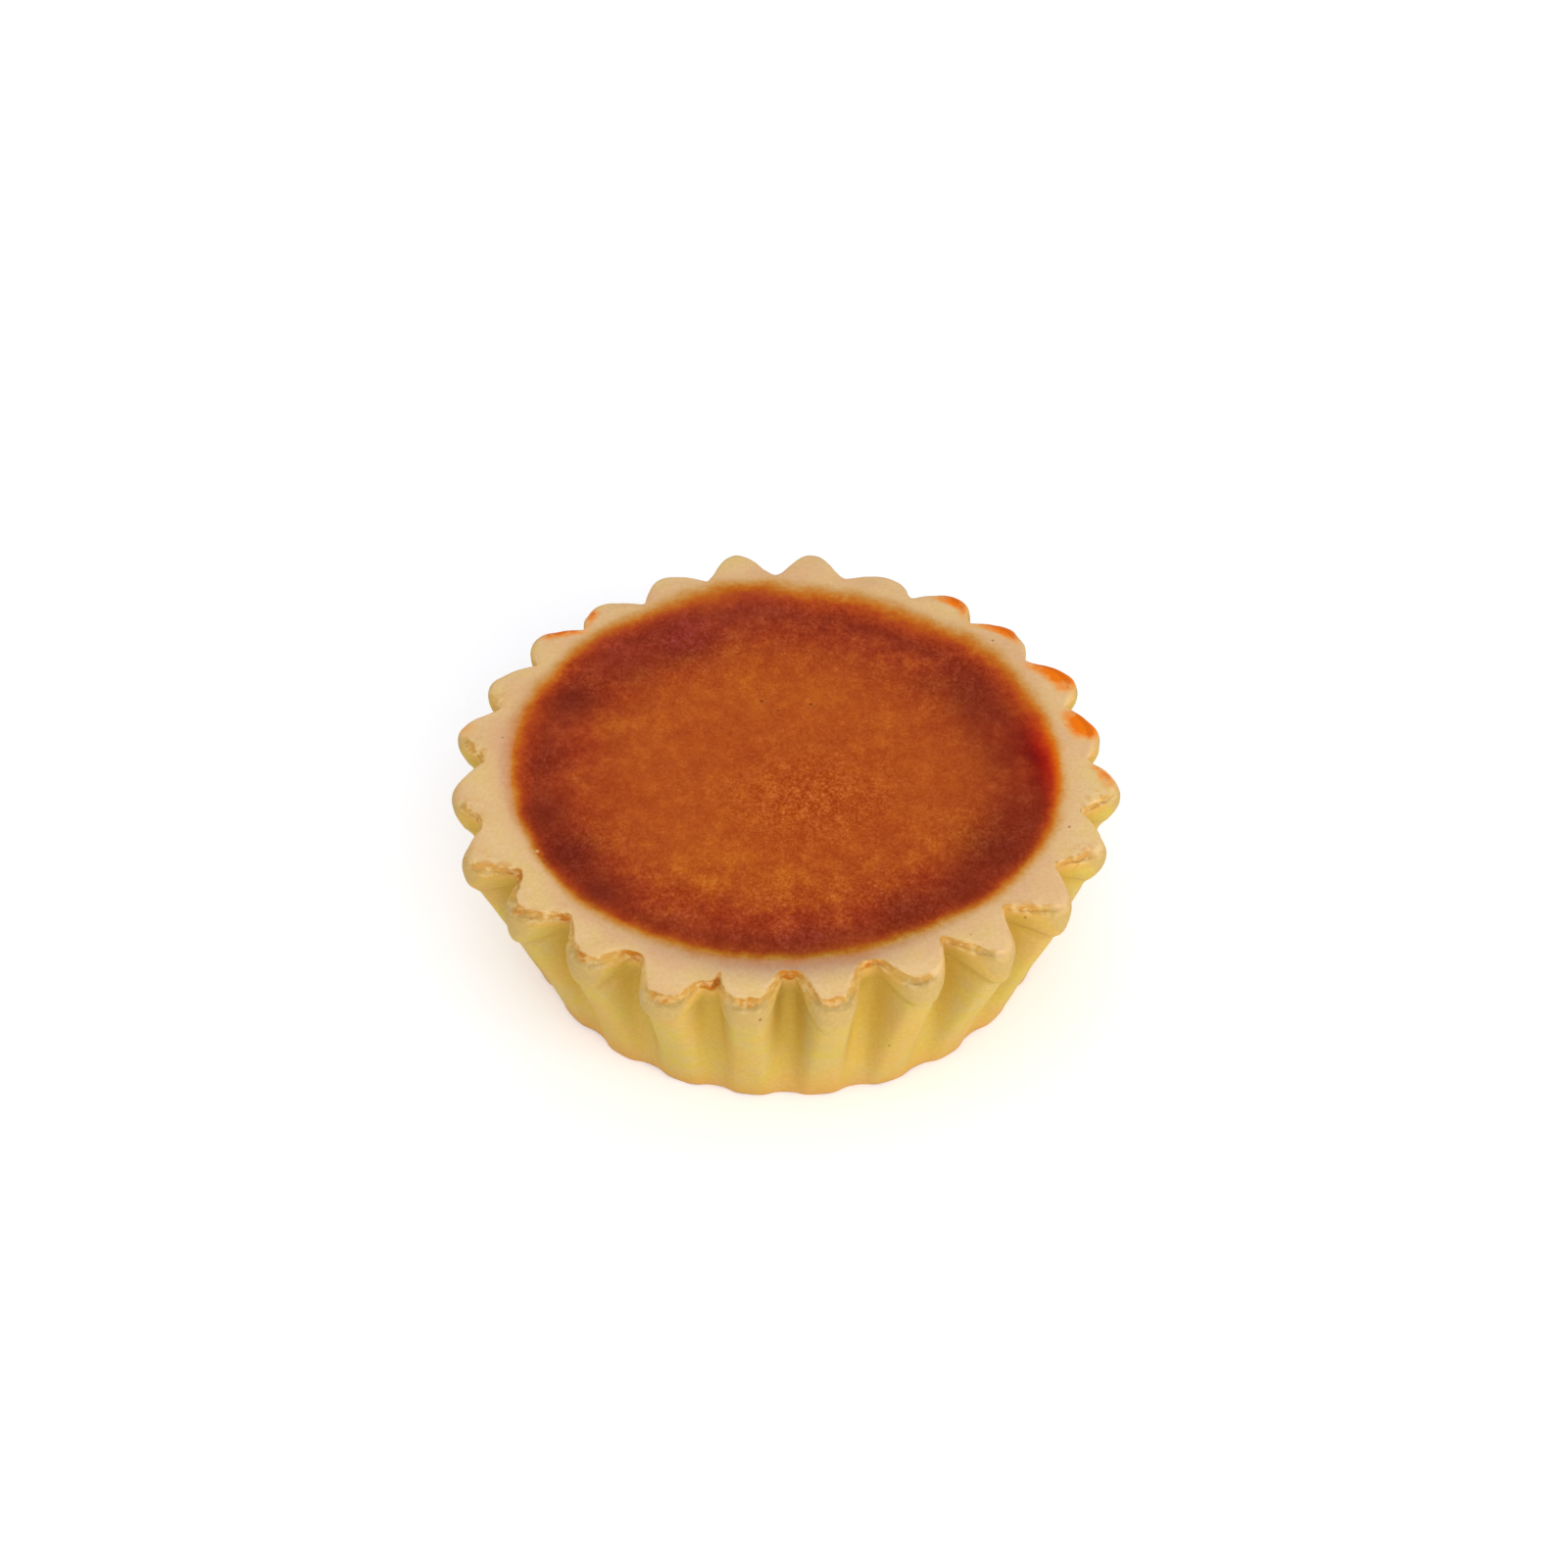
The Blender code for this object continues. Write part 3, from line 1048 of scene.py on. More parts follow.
        # Dots of light in the grain: partly painted glints, partly pale specks
        dots = bench.dots(drawn, self.dot_spacing, self.dot_share)
        for tone in (bench.ramp(grain, self.grain), bench.ramp(fine, self.grain),
                     bench.ramp(dots, self.dot_glints)):
            colour = bench.mix(colour, tone, grained, Layer.TONE)
        colour = bench.mix(colour, self.shade, bench.mark(Mark.SHADED), Layer.STAIN)
        bench.relief((grain * 0.8 + mottle * 0.5 + fine * 0.3) * skin,
                     self.relief_depth, self.relief_strength)
        rough = self.roughness + (mottle - 0.5) * self.roughness_swing
        return bench.finished(self._dotted(bench, place, colour), rough, self.sheen)


@dataclass(frozen=True)
class FloorFinish:
    """Plain pale floor, lit a little from below as a light table is."""

    colour: Colour = Colour(250, 251, 255)
    roughness: float = 0.9
    glow: float = 0.18

    def make(self) -> bpy.types.Material:
        """Make the material.

        Returns:
            The floor's material.
        """
        bench = Bench("pale_floor")
        bench.feed(bench.surface.inputs["Emission Color"], self.colour)
        bench.surface.inputs["Emission Strength"].default_value = self.glow
        return bench.finished(self.colour, self.roughness, 0.0)


# The pie


@dataclass
class CustardRound:
    """The round that the custard fills: nearly a circle, drawn out a little in places."""

    radius: float = 31.8
    # A wave in the radius: how many waves round, its swell and its crest's angle
    swells: tuple[Triple, ...] = ((1, 0.45, 132.0), (2, 0.27, -84.0), (3, 0.25, -14.0))
    # How far the browned edge lies inwards, and where it strays
    edge_inset: float = 0.42
    edge_strays: tuple[Bell, ...] = (
        (14.0, 12.0, 0.1), (40.0, 9.0, -0.26), (60.0, 12.0, 0.87), (82.0, 10.0, 0.66),
        (101.0, 9.0, -0.43), (121.0, 10.0, 0.66), (145.0, 14.0, 0.24),
        (190.0, 12.0, 0.14), (222.0, 12.0, -0.19), (243.0, 10.0, 0.17),
        (278.0, 18.0, 0.15), (300.0, 12.0, 0.5), (338.0, 20.0, -0.42))
    # Where it is softer: angle, width, and how much outside and inside the edge
    soft_edges: tuple[Quad, ...] = (
        (86.0, 44.0, 2.3, 2.6), (36.0, 16.0, 0.6, 0.7), (20.0, 12.0, 0.0, 1.0),
        (168.0, 18.0, 0.5, 1.0), (274.0, 26.0, 0.8, 0.3), (212.0, 18.0, -0.3, 0.0))
    softness_reach: float = 3.5
    # Where the edge is caught by the heat, and where it is a little shaded
    caught: Bell = (2.0, 14.0, 1.0)
    shaded: Bell = (272.0, 34.0, 1.0)
    shade_width: float = 1.7

    def radius_at(self, angle: Array) -> Array:
        """Radius towards an angle: the mean plus a cosine wave for each swell.

        Args:
            angle: Angles from +X, in degrees.

        Returns:
            Radii.
        """
        total = np.full(np.shape(angle), self.radius)
        for waves, swell, crest_angle in self.swells:
            total = total + swell * np.cos(np.radians(waves * angle - crest_angle))
        return total

    def inside_edge(self, places: Array) -> Array:
        """How far a point lies inside the baked edge, as the browning shows it.

        The edge lies a little inside the round, by a mean and a bell for each place where
        it strays. Near the edge the distance is divided by the edge's softness there,
        which eases to 1 further in.

        Args:
            places: Points.

        Returns:
            Millimetres, below 0 outside the edge.
        """
        angle = np.degrees(bearing(places))
        inset = self.edge_inset + sectors(angle, self.edge_strays)
        away = np.hypot(places[..., 0], places[..., 1])
        inside = self.radius_at(angle) - away - inset
        softness = np.ones(angle.shape)
        for centre, width, outer, inner in self.soft_edges:
            amount = np.where(inside < 0.0, outer, inner)
            softness = softness + amount * hump(turned(angle, centre), width)
        near = self.softness_reach * np.tanh(inside / self.softness_reach)
        return inside - near * (1.0 - 1.0 / softness)

    def marks(self, places: Array, shade_place: float) -> dict[Mark, Array]:
        """What both pieces note of the baked edge.

        Args:
            places: Points.
            shade_place: How far inside the edge the shade is deepest.

        Returns:
            The marks, with a number for each point.
        """
        inside = self.inside_edge(places)
        angle = np.degrees(bearing(places))
        shaded = sectors(angle, [self.shaded]) * hump(inside - shade_place, self.shade_width)
        return {Mark.INSIDE_EDGE: inside, Mark.SHADED: shaded,
                Mark.FIERY: sectors(angle, [self.caught])}


@dataclass
class FlutedRim:
    """The tin's even flutes and the rim's own lobes, and how each lobe strays."""

    lobes: int = 24
    first_lobe_angle: float = -7.5
    turns: tuple[float, ...] = (
        2.4, 2.5, 2.3, 4.0, 3.1, 2.6, 2.5, 1.4, 0.5, 0.7, -0.7, -1.0,
        -2.2, -0.6, 1.2, 0.6, 1.4, 2.5, 1.3, 0.5, 2.0, 1.2, 1.2, 1.9)
    reaches: tuple[float, ...] = (
        0.26, -1.0, -0.3, -0.9, -0.5, -0.9, 1.7, 2.0, 0.0, -0.7, -0.2, -0.2,
        0.5, 0.0, 0.8, 0.0, -0.3, 1.1, -0.3, -0.06, -0.5, 0.3, 0.4, 0.1)
    valley_reaches: tuple[float, ...] = (
        0.9, 0.5, 0.2, 0.1, 0.2, 0.9, 0.9, 1.0, -0.1, 0.4, 0.6, 0.9,
        0.8, 1.6, 0.1, -0.3, -0.1, 1.2, -1.3, -1.5, -1.4, -0.8, 0.3, 0.5)
    wall_power: float = 0.85
    rim_power: float = 0.5
    reach_power: float = 0.2
    least_power: float = 0.35
    valley_softness: float = 0.03
    square_reach: float = 0.75
    wall_squareness: float = 0.7
    # How square the front lobes are, and how far towards the front they are
    front_squareness: float = 0.75
    front_angle: float = 262.0
    squared_towards: Span = (0.8, 0.93)
    # The flare of the ribs under the front lobes, and how far towards the front they are
    front_flare: float = 0.8
    flared_towards: Span = (0.2, 0.7)
    flare_zone: float = 2.05
    flare_width: float = 0.42
    # Broad, flat valleys: the lobe before, and the share of the wave that is cut off
    flat_valleys: tuple[Pair, ...] = ((18, 0.12), (19, 0.05))
    columns_per_lobe: int = 44
    valley_crowding: float = 0.3

    def each(self, given: Sequence[Sequence[float]], plain: float) -> Array:
        """Values for every lobe, from a list of the lobes that stand out.

        Args:
            given: Lobes, each with its values.
            plain: The value for all the others.

        Returns:
            One row for each value and one column for each lobe.
        """
        columns = np.full((len(given[0]) - 1, self.lobes), plain)
        for lobe, *values in given:
            columns[:, lobe] = values
        return columns

    def columns(self) -> tuple[Array, Array, Array]:
        """Every column's turn round the rim, its lobe, and its phase across the lobe.

        The phase runs from -0.5 to 0.5 and is crowded towards both ends by a sine wave.

        Returns:
            Turns, lobes and phases, each in one row.
        """
        even = np.arange(self.columns_per_lobe) / self.columns_per_lobe - 0.5
        phase = even + self.valley_crowding * np.sin(2.0 * np.pi * even) / (2.0 * np.pi)
        lobe = np.repeat(np.arange(self.lobes), self.columns_per_lobe)
        phases = np.tile(phase, self.lobes)
        return (lobe + phases)[None, :], lobe[None, :], phases[None, :]

    def wave(self, phase: Array, power: Array, squareness: Array, flat: Array) -> Array:
        """The flute's wave, 0 in a valley and 1 on a crest.

        It blends two waves by the squareness: a raised cosine to a power, and the same
        cosine eased, which has a flat valley, steep flanks and a flat crest.

        Args:
            phase: Phase across the lobe, from -0.5 to 0.5.
            power: Power of the cosine: the lower, the broader the lobe.
            squareness: How square the lobe is, from 0 to 1.
            flat: Share of the wave that is cut off in the valley.

        Returns:
            The wave.
        """
        cosine = 0.5 + 0.5 * np.cos(2.0 * np.pi * phase)
        cosine = np.maximum(0.0, (cosine - flat) / (1.0 - flat))
        low = self.valley_softness ** power
        high = (1.0 + self.valley_softness) ** power
        round_wave = ((cosine + self.valley_softness) ** power - low) / (high - low)
        return blend(round_wave, ease(cosine, 0.0, self.square_reach), squareness)

    def angle(self, turn: Array, lip: Array) -> Array:
        """Angle from +X of a turn, which leans to the rim's own lobe by lip."""
        even = self.first_lobe_angle + turn * 360.0 / self.lobes
        return even + lip * around(self.turns, turn)

    def towards_front(self, angle: Array) -> Array:
        """1 at the front, 0 at the sides and -1 at the back."""
        return np.cos(np.radians(angle - self.front_angle))

    def _flare(self, key: "CrustKey", angle: Array) -> Array:
        """How far the ribs under the front lobes flare out towards the bead."""
        front = ease(self.towards_front(angle), *self.flared_towards)
        return self.front_flare * front * hump(key.zone - self.flare_zone, self.flare_width)

    def outline(self, key: "CrustKey") -> tuple[Array, Array, Array]:
        """The fluted outline at each row, before it swells.

        The radius is blended by the flute's wave between a valley and a crest, each with
        its own reach on the rim. A lobe that reaches further is pointed, and the lobes at
        the front are squarer.

        Args:
            key: The rows of the section.

        Returns:
            Radii, angles in degrees, and the flute's wave.
        """
        turn, lobe, phase = self.columns()
        reach = key.lip * np.array(self.reaches)[lobe]
        power = np.maximum(self.least_power, self.rim_power + self.reach_power * reach)
        angle = self.angle(turn, key.lip)
        squared = ease(self.towards_front(angle), *self.squared_towards)
        square = blend(self.wall_squareness, squared * self.front_squareness, key.form)
        flat = key.form * around(self.each(self.flat_valleys, 0.0)[0], turn - 0.5)
        wave = self.wave(phase, blend(self.wall_power, power, key.form), square, flat)
        valley = key.valley_radius + key.lip * around(self.valley_reaches, turn - 0.5)
        crest = key.crest_radius + reach + self._flare(key, angle)
        return blend(valley, crest, wave), angle, wave


@dataclass
class CrustSizes:
    """The crust's sizes, as in the solid that it stands for."""

    height: float = 23.1
    base_crest: float = 31.3
    base_valley: float = 30.65
    base_round: float = 0.8
    wall_crest: float = 37.0
    wall_valley: float = 33.6
    rim_crest: float = 38.35
    rim_valley: float = 34.25
    lip_crest_depth: float = 5.1
    lip_valley_depth: float = 3.4
    bead_top_depth: float = 1.3
    lobe_droop: float = 0.15
    floor_radius: float = 27.6
    floor_height: float = 3.2
    floor_round: float = 1.6
    crown: float = 0.03


class CrustKey(NamedTuple):
    """A key of the crust's section, or all its rows with an array for each value.

    Depths are measured down from the rim, in a valley and on a crest. lip is 0 where the
    wall follows the tin's even flutes and 1 where it has the rim's own lobes, and form is
    the same for the shape of the flute's wave. A swell moves the outline along its own
    normal. A smooth or creased edge adds its own depth and swell, and cut is the share
    of the tear that is taken away.
    """

    zone: Array
    valley_depth: Array
    crest_depth: Array
    valley_radius: Array
    crest_radius: Array
    lip: Array = 0.0
    form: Array = 0.0
    valley_swell: Array = 0.0
    crest_swell: Array = 0.0
    smooth_depth: Array = 0.0
    smooth_swell: Array = 0.0
    crease_depth: Array = 0.0
    crease_swell: Array = 0.0
    cut: Array = 0.0


@dataclass(frozen=True)
class EdgeKey:
    """One height of the edge over the bead.

    Its form is a depth and a swell: where the edge is torn to a ledge, where it is smooth
    and where it is creased.
    """

    zone: float
    valley_swell: float
    cut: float
    ledge: Pair
    smooth: Pair
    crease: Pair


@dataclass(frozen=True)
class FreshTear:
    """Where torn dough shows orange: from low in the torn band up, over a fade.

    At a lobe's tip and in a valley it reaches lower by a drop, and shows more by a gain.
    """

    low: float = 4.2
    fade: float = 0.5
    ends: Span = (4.95, 5.05)
    share: float = 0.3
    tip_width: float = 0.16
    tip_drop: float = 0.5
    tip_gain: float = 0.5
    valley_width: float = 0.14
    valley_drop: float = 1.2
    valley_gain: float = 0.95

    def at(self, zone: Array, phase: Array, torn: Array, crack: Array) -> Array:
        """How orange the torn dough shows.

        Args:
            zone: The zone of each point.
            phase: The phase of each column.
            torn: How torn each column is.
            crack: How near each column is to the crack.

        Returns:
            Shares, for each point.
        """
        valley = hump(0.5 - np.abs(phase), self.valley_width)
        tip = hump(phase, self.tip_width)
        low = self.low - self.tip_drop * tip - self.valley_drop * valley
        share = self.share + self.tip_gain * tip + self.valley_gain * valley
        ledge = between(zone, (low, low + self.fade), self.ends)
        return ledge * np.maximum(torn * share, crack)


@dataclass
class Crust:
    """The pastry: base, fluted wall, beaded lip, torn edge, top face and hollow."""

    rim: FlutedRim = field(default_factory=FlutedRim)
    hollow: CustardRound = field(default_factory=CustardRound)
    sizes: CrustSizes = field(default_factory=CrustSizes)
    fresh_tear: FreshTear = FreshTear()
    finish: CrustFinish = field(default_factory=CrustFinish)
    # Where the section has keys: angles round the base's edge and shares up the wall
    base_angles: tuple[float, ...] = (0.0, 30.0, 60.0, 90.0)
    wall_shares: tuple[float, ...] = (0.33, 0.67, 0.93, 1.0)
    # The zone at the end of the base's flat, and the shares of the base's rows
    flat_zone: float = 0.8
    base_rows: tuple[float, ...] = (0.02, 0.3, 0.6, 0.85)
    # How far the wave has the rim's form at the top of the wall and the bead's foot
    wall_form: float = 0.25
    wall_formed: Span = (0.6, 1.0)
    bead_unformed: float = 0.7
    bead_formed: Span = (0.5, 1.0)
    # The bead's section: share of the way down it, its swell in a valley and on a crest
    bead: tuple[Triple, ...] = (
        (0.97, -0.30, -1.05), (0.85, -0.22, -0.62), (0.65, -0.02, -0.12),
        (0.42, 0.14, 0.26), (0.22, 0.22, 0.46), (0.05, 0.24, 0.50))
    edge: tuple[EdgeKey, ...] = (
        EdgeKey(3.2, 0.26, 0.0, (1.36, 0.50), (1.15, 0.46), (1.12, 0.46)),
        EdgeKey(3.5, 0.29, 0.0, (1.08, 0.42), (0.82, 0.36), (0.80, 0.34)),
        EdgeKey(3.8, 0.31, 0.3, (0.90, 0.24), (0.55, 0.18), (0.60, 0.08)),
        EdgeKey(4.15, 0.31, 0.75, (0.76, 0.00), (0.33, -0.06), (0.63, -0.26)),
        EdgeKey(4.5, 0.29, 1.0, (0.50, -0.20), (0.17, -0.32), (0.44, -0.42)),
        EdgeKey(4.8, 0.23, 1.0, (0.20, -0.28), (0.07, -0.62), (0.15, -0.50)),
        EdgeKey(5.0, 0.12, 1.0, (0.03, -0.34), (0.01, -1.00), (0.02, -0.64)),
    )
    # How far the top face is torn back: the lobe, its first flank, tip and second flank
    tears: tuple[Quad, ...] = (
        (0, 0.25, 0.0, 0.0), (10, 0.0, 0.0, 0.1), (11, 0.0, 0.0, 0.15),
        (12, 0.0, 0.0, 0.3), (13, 0.0, 0.0, 0.3), (14, 0.1, 0.15, 0.5),
        (15, 0.45, 0.7, 0.65), (16, 0.4, 0.45, 0.5), (17, 0.15, 0.4, 0.45),
        (18, 0.35, 0.4, 0.45), (19, 0.45, 0.35, 0.3), (20, 0.5, 0.2, 0.0),
        (21, 0.4, 0.05, 0.0), (22, 0.35, 0.05, 0.0), (23, 0.3, 0.0, 0.0))
    wholly_torn: float = 0.36
    flank_phase: float = 0.3
    # Lobes whose edge isn't all a crease, from 0 for a ledge to 1 for a crease
    creases: tuple[Pair, ...] = (
        (13, 0.8), (14, 0.5), (15, 0.2), (16, 0.0), (17, 0.0), (18, 0.0), (19, 0.3),
        (20, 0.8))
    fresh_in_crease: float = 0.5
    # Lobes whose lip ends higher than on the others: the lobe, and by how much
    high_lips: tuple[Pair, ...] = ((17, 1.6), (20, 0.8), (14, 0.8))
    lip_width: float = 0.55
    # A crack that runs in from a valley: its turn, half width in turns, and depth
    crack: Triple = (17.59, 0.035, 1.6)
    crack_ends: Span = (5.0, 5.25)
    # Orange tips: angle, width in degrees, reach inwards from the edge, and strength
    browned: tuple[Quad, ...] = (
        (11.5, 3.6, 2.4, 1.5), (26.5, 4.4, 2.0, 1.4), (43.0, 4.4, 0.9, 1.0),
        (55.0, 3.6, 1.0, 1.0), (357.5, 3.4, 1.0, 0.55), (131.0, 2.2, 0.6, 0.7),
        (138.5, 3.6, 1.1, 0.8), (170.5, 2.4, 1.0, 0.3))
    browned_core: float = 0.1
    browned_past: float = 0.9
    browned_from: Span = (3.2, 4.4)
    # Where the edge is scratched and crumbly, round the rim and up the section
    scratched: tuple[Bell, ...] = (
        (160.5, 2.5, 0.6), (175.5, 2.6, 0.9), (191.5, 3.0, 0.8), (207.0, 4.0, 0.9),
        (222.0, 4.0, 0.5), (351.0, 3.0, 0.9), (336.0, 3.4, 0.9), (319.5, 3.0, 0.6),
        (304.5, 2.5, 0.3))
    scratched_from: Span = (3.2, 4.0)
    scratched_to: Span = (5.1, 5.45)
    # Where the top is rosy beside the custard: round the rim, and inside the edge
    rosy: tuple[Bell, ...] = ((180.0, 18.0, 0.5), (273.0, 24.0, 0.45))
    rosy_place: float = -0.95
    rosy_width: float = 0.7
    shade_place: float = -0.9
    # Swelling of the dough, broad and close, and nicks towards the edge
    wobble: Unevenness = Unevenness(seed=2, size=9.0, height=0.12)
    ripple: Unevenness = Unevenness(seed=3, size=3.0, height=0.05)
    nicks: Unevenness = Unevenness(seed=4, size=2.0, layers=2, height=0.3)
    nicked_from: Span = (2.2, 3.4)
    # Raggedness of the tear, its crumbs, and the dough's own fine grain
    ragged: Unevenness = Unevenness(seed=5, size=1.2, layers=3, height=0.3)
    crumbs: Unevenness = Unevenness(seed=7, size=0.9, layers=3)
    torn_crumbs: float = 0.16
    scratch_crumbs: float = 0.1
    crumbs_from: Span = (3.3, 3.8)
    crumbs_to: Span = (4.75, 4.98)
    dough: Unevenness = Unevenness(seed=8, size=1.8, layers=2, height=0.015)
    dough_from: Span = (1.0, 1.1)
    # How far the top face sinks, and its unevenness
    sag: Unevenness = Unevenness(seed=11, size=5.0, layers=3)
    sag_depth: float = 0.05
    sag_from: Span = (4.9, 5.3)
    sag_to: Span = (5.6, 5.95)
    # How much of the edge's form shows in a valley
    valley_edge: float = 0.3
    tucked_under: float = 0.15
    tuck_depth: float = 0.03
    # Over which share of the top face a torn column turns straight and level
    straightened: float = 0.45
    levelled: float = 0.3
    # How far the hollow's wall leans in, over which depth, and its last ring's radius
    hollow_lean: float = 0.02
    hollow_drop: float = 0.5
    hollow_middle: float = 1.0
    hollow_zones: tuple[float, ...] = (6.0, 6.1, 6.2, 6.6, 6.8, 7.0)
    smoothings: int = 3
    section_rows: int = 68
    # Shares of the rows, and how far up the section they lie
    row_places: tuple[Pair, ...] = (
        (0.0, 0.0), (0.05, 0.2), (0.26, 1.2), (0.5, 2.2), (0.74, 3.2), (1.0, 4.2))
    top_rows: int = 14

    def _section_keys(self) -> list[CrustKey]:
        """The keys of the outside's section, from the base's flat up to the top face.

        Returns:
            The keys, in order.
        """
        s = self.sizes
        low = s.height - s.base_round
        keys = []
        for angle in np.radians(self.base_angles):
            inward = s.base_round * (1.0 - math.sin(angle))
            depth = s.height - s.base_round * (1.0 - math.cos(angle))
            zone = blend(self.flat_zone, Zone.BASE_EDGE, angle / (0.5 * math.pi))
            keys.append(CrustKey(zone, depth, depth, s.base_valley - inward,
                                 s.base_crest - inward))
        for share in self.wall_shares:
            keys.append(CrustKey(
                Zone.BASE_EDGE + share,
                blend(low, s.lip_valley_depth, share), blend(low, s.lip_crest_depth, share),
                blend(s.base_valley, s.wall_valley, share),
                blend(s.base_crest, s.wall_crest, share),
                share, self.wall_form * ease(share, *self.wall_formed)))
        for share, valley_swell, crest_swell in self.bead:
            keys.append(CrustKey(
                Zone.BEAD_TOP - share,
                blend(s.bead_top_depth, s.lip_valley_depth, share),
                blend(s.bead_top_depth, s.lip_crest_depth, share),
                s.rim_valley, s.rim_crest, 1.0,
                1.0 - ease(share, *self.bead_formed) * self.bead_unformed,
                valley_swell, crest_swell))
        for key in self.edge:
            (depth, swell), smooth, crease = key.ledge, key.smooth, key.crease
            keys.append(CrustKey(
                key.zone, depth, depth, s.rim_valley, s.rim_crest, 1.0, 1.0,
                key.valley_swell, swell, smooth[0] - depth, smooth[1] - swell,
                crease[0] - depth, crease[1] - swell, key.cut))
        return keys

    def _section(self) -> CrustKey:
        """The section's rows, closest over the bead and the torn edge.

        Returns:
            The rows, as a column of numbers for each value of a key.
        """
        keys = np.array(self._section_keys())
        places = np.append(0.0, np.cumsum(np.diff(keys[:, 0])))
        shares = np.linspace(0.0, 1.0, self.section_rows)
        wanted = np.interp(shares, *np.transpose(self.row_places))
        return CrustKey(*through(keys, places, wanted).T[..., None])

    def _across(self, lobe: Array, phase: Array, valleys: float) -> Array:
        """How far the top face is torn back, eased between a lobe's flanks and its tip.

        Args:
            lobe: The lobe of each column.
            phase: The phase of each column across its lobe.
            valleys: How much of the tears on both its sides a valley takes.

        Returns:
            Millimetres, for each column.
        """
        first, tip, second = self.rim.each(self.tears, 0.0)
        valley = 0.5 * valleys * (second + np.roll(first, -1))
        flank = self.flank_phase
        left = blend(valley[lobe - 1], first[lobe], ease(phase, -0.5, -flank))
        left = blend(left, tip[lobe], ease(phase, -flank, 0.0))
        right = blend(tip[lobe], second[lobe], ease(phase, 0.0, flank))
        right = blend(right, valley[lobe], ease(phase, flank, 0.5))
        return np.where(phase < 0.0, left, right)

    def _cracked(self) -> Array:
        """How near each column is to the crack."""
        return hump(self.rim.columns()[0] - self.crack[0], self.crack[1])

    def _creased(self, torn: Array) -> Array:
        """How far each column's edge is a crease, where it is torn."""
        creases = self.rim.each(self.creases, 1.0)[0]
        return torn * around(creases, self.rim.columns()[0])

    def _edge_form(self, key: CrustKey, wave: Array, torn: Array) -> tuple[Array, Array]:
        """The height of the outside and how far it swells out, before it is torn.

        Both are blended by the flute's wave between a valley and a crest. Where the edge
        isn't torn it gets its smooth form, and some torn lobes get a crease.

        Args:
            key: The section's rows.
            wave: The flute's wave.
            torn: How torn each column is.

        Returns:
            Heights and swells.
        """
        smooth = 1.0 - torn
        crease = self._creased(torn)
        rise = self.rim.each(self.high_lips, 0.0)[0][self.rim.columns()[1]]
        rise = rise * hump(key.zone - Zone.BEAD_FOOT, self.lip_width)
        depth = blend(key.valley_depth, key.crest_depth - rise, wave)
        depth = depth + smooth * key.smooth_depth + crease * key.crease_depth
        height = self.sizes.height - depth - key.lip * self.sizes.lobe_droop * wave
        over = smooth * key.smooth_swell + crease * key.crease_swell
        swell = blend(key.valley_swell, key.crest_swell, wave)
        return height, swell + over * blend(self.valley_edge, 1.0, wave)

    def _outside(self) -> ClosedSurface:
        """The outside of the crust, up to the edge of its top face.

        Each point of the fluted outline moves along the outline's normal: by the
        section's swell, less the tear where the section is cut, plus the dough's
        unevenness. The tear is ragged where the outline faces straight outwards, and the
        crack draws the cut part inwards.

        Returns:
            The surface, with its marks.
        """
        key = self._section()
        radius, angle, wave = self.rim.outline(key)
        lobe, phase = self.rim.columns()[1:]
        level = on_circle(radius, np.radians(angle), 0.0)
        outline = level[..., :2]
        along = np.roll(outline, -1, axis=1) - np.roll(outline, 1, axis=1)
        normal = np.stack([along[..., 1], -along[..., 0]], axis=-1)
        normal /= np.linalg.norm(normal, axis=-1, keepdims=True)

        torn = ease(self._across(lobe, phase, 1.0), 0.0, self.wholly_torn)
        facing = (normal * outline).sum(axis=-1) / radius
        ragged = torn ** 2 * self.ragged.at(level) * facing ** 2
        tear = np.maximum(0.0, self._across(lobe, phase, 0.0) + ragged)
        height, swell = self._edge_form(key, wave, torn)
        places = np.concatenate([outline, height[..., None]], axis=-1)
        nicks = np.maximum(0.0, self.nicks.at(places)) * ease(key.zone, *self.nicked_from)
        swell = swell - key.cut * tear - nicks
        swell = swell + self.wobble.at(places) + self.ripple.at(places)
        inwards = key.cut * self.crack[2] * self._cracked() / radius
        moved = (outline + normal * swell[..., None]) * (1.0 - inwards[..., None])
        zone = np.broadcast_to(key.zone, wave.shape)
        torn_here = torn * (1.0 - self.fresh_in_crease * self._creased(torn))
        return ClosedSurface(self._in_order(moved, height), {
            Mark.ZONE: zone, Mark.CREST: wave, Mark.TORN: np.broadcast_to(torn, wave.shape),
            Mark.FRESHLY_TORN: self.fresh_tear.at(zone, phase, torn_here, self._cracked())})

    def _even_angles(self) -> Array:
        """Each column's even angle from +X at the rim, in radians."""
        return np.radians(self.rim.angle(self.rim.columns()[0][0], np.ones(1)))

    def _in_order(self, flat: Array, height: Array) -> Array:
        """Keep the columns in order round the pie, where a tear would cross them.

        Each row's angles are sorted. Then both angles and radii are evened out with
        their neighbours, a quarter from each side, several times over.

        Args:
            flat: Places seen from above, one row for each height.
            height: Their heights.

        Returns:
            The places in order.
        """
        even = self._even_angles()
        angle = np.sort(even + wrapped(bearing(flat) - even), axis=1)
        polar = np.stack([np.hypot(flat[..., 0], flat[..., 1]), angle - even])
        for _ in range(self.smoothings):
            beside = np.roll(polar, 1, axis=2) + np.roll(polar, -1, axis=2)
            polar = 0.5 * polar + 0.25 * beside
        return on_circle(polar[0], even + polar[1], height)

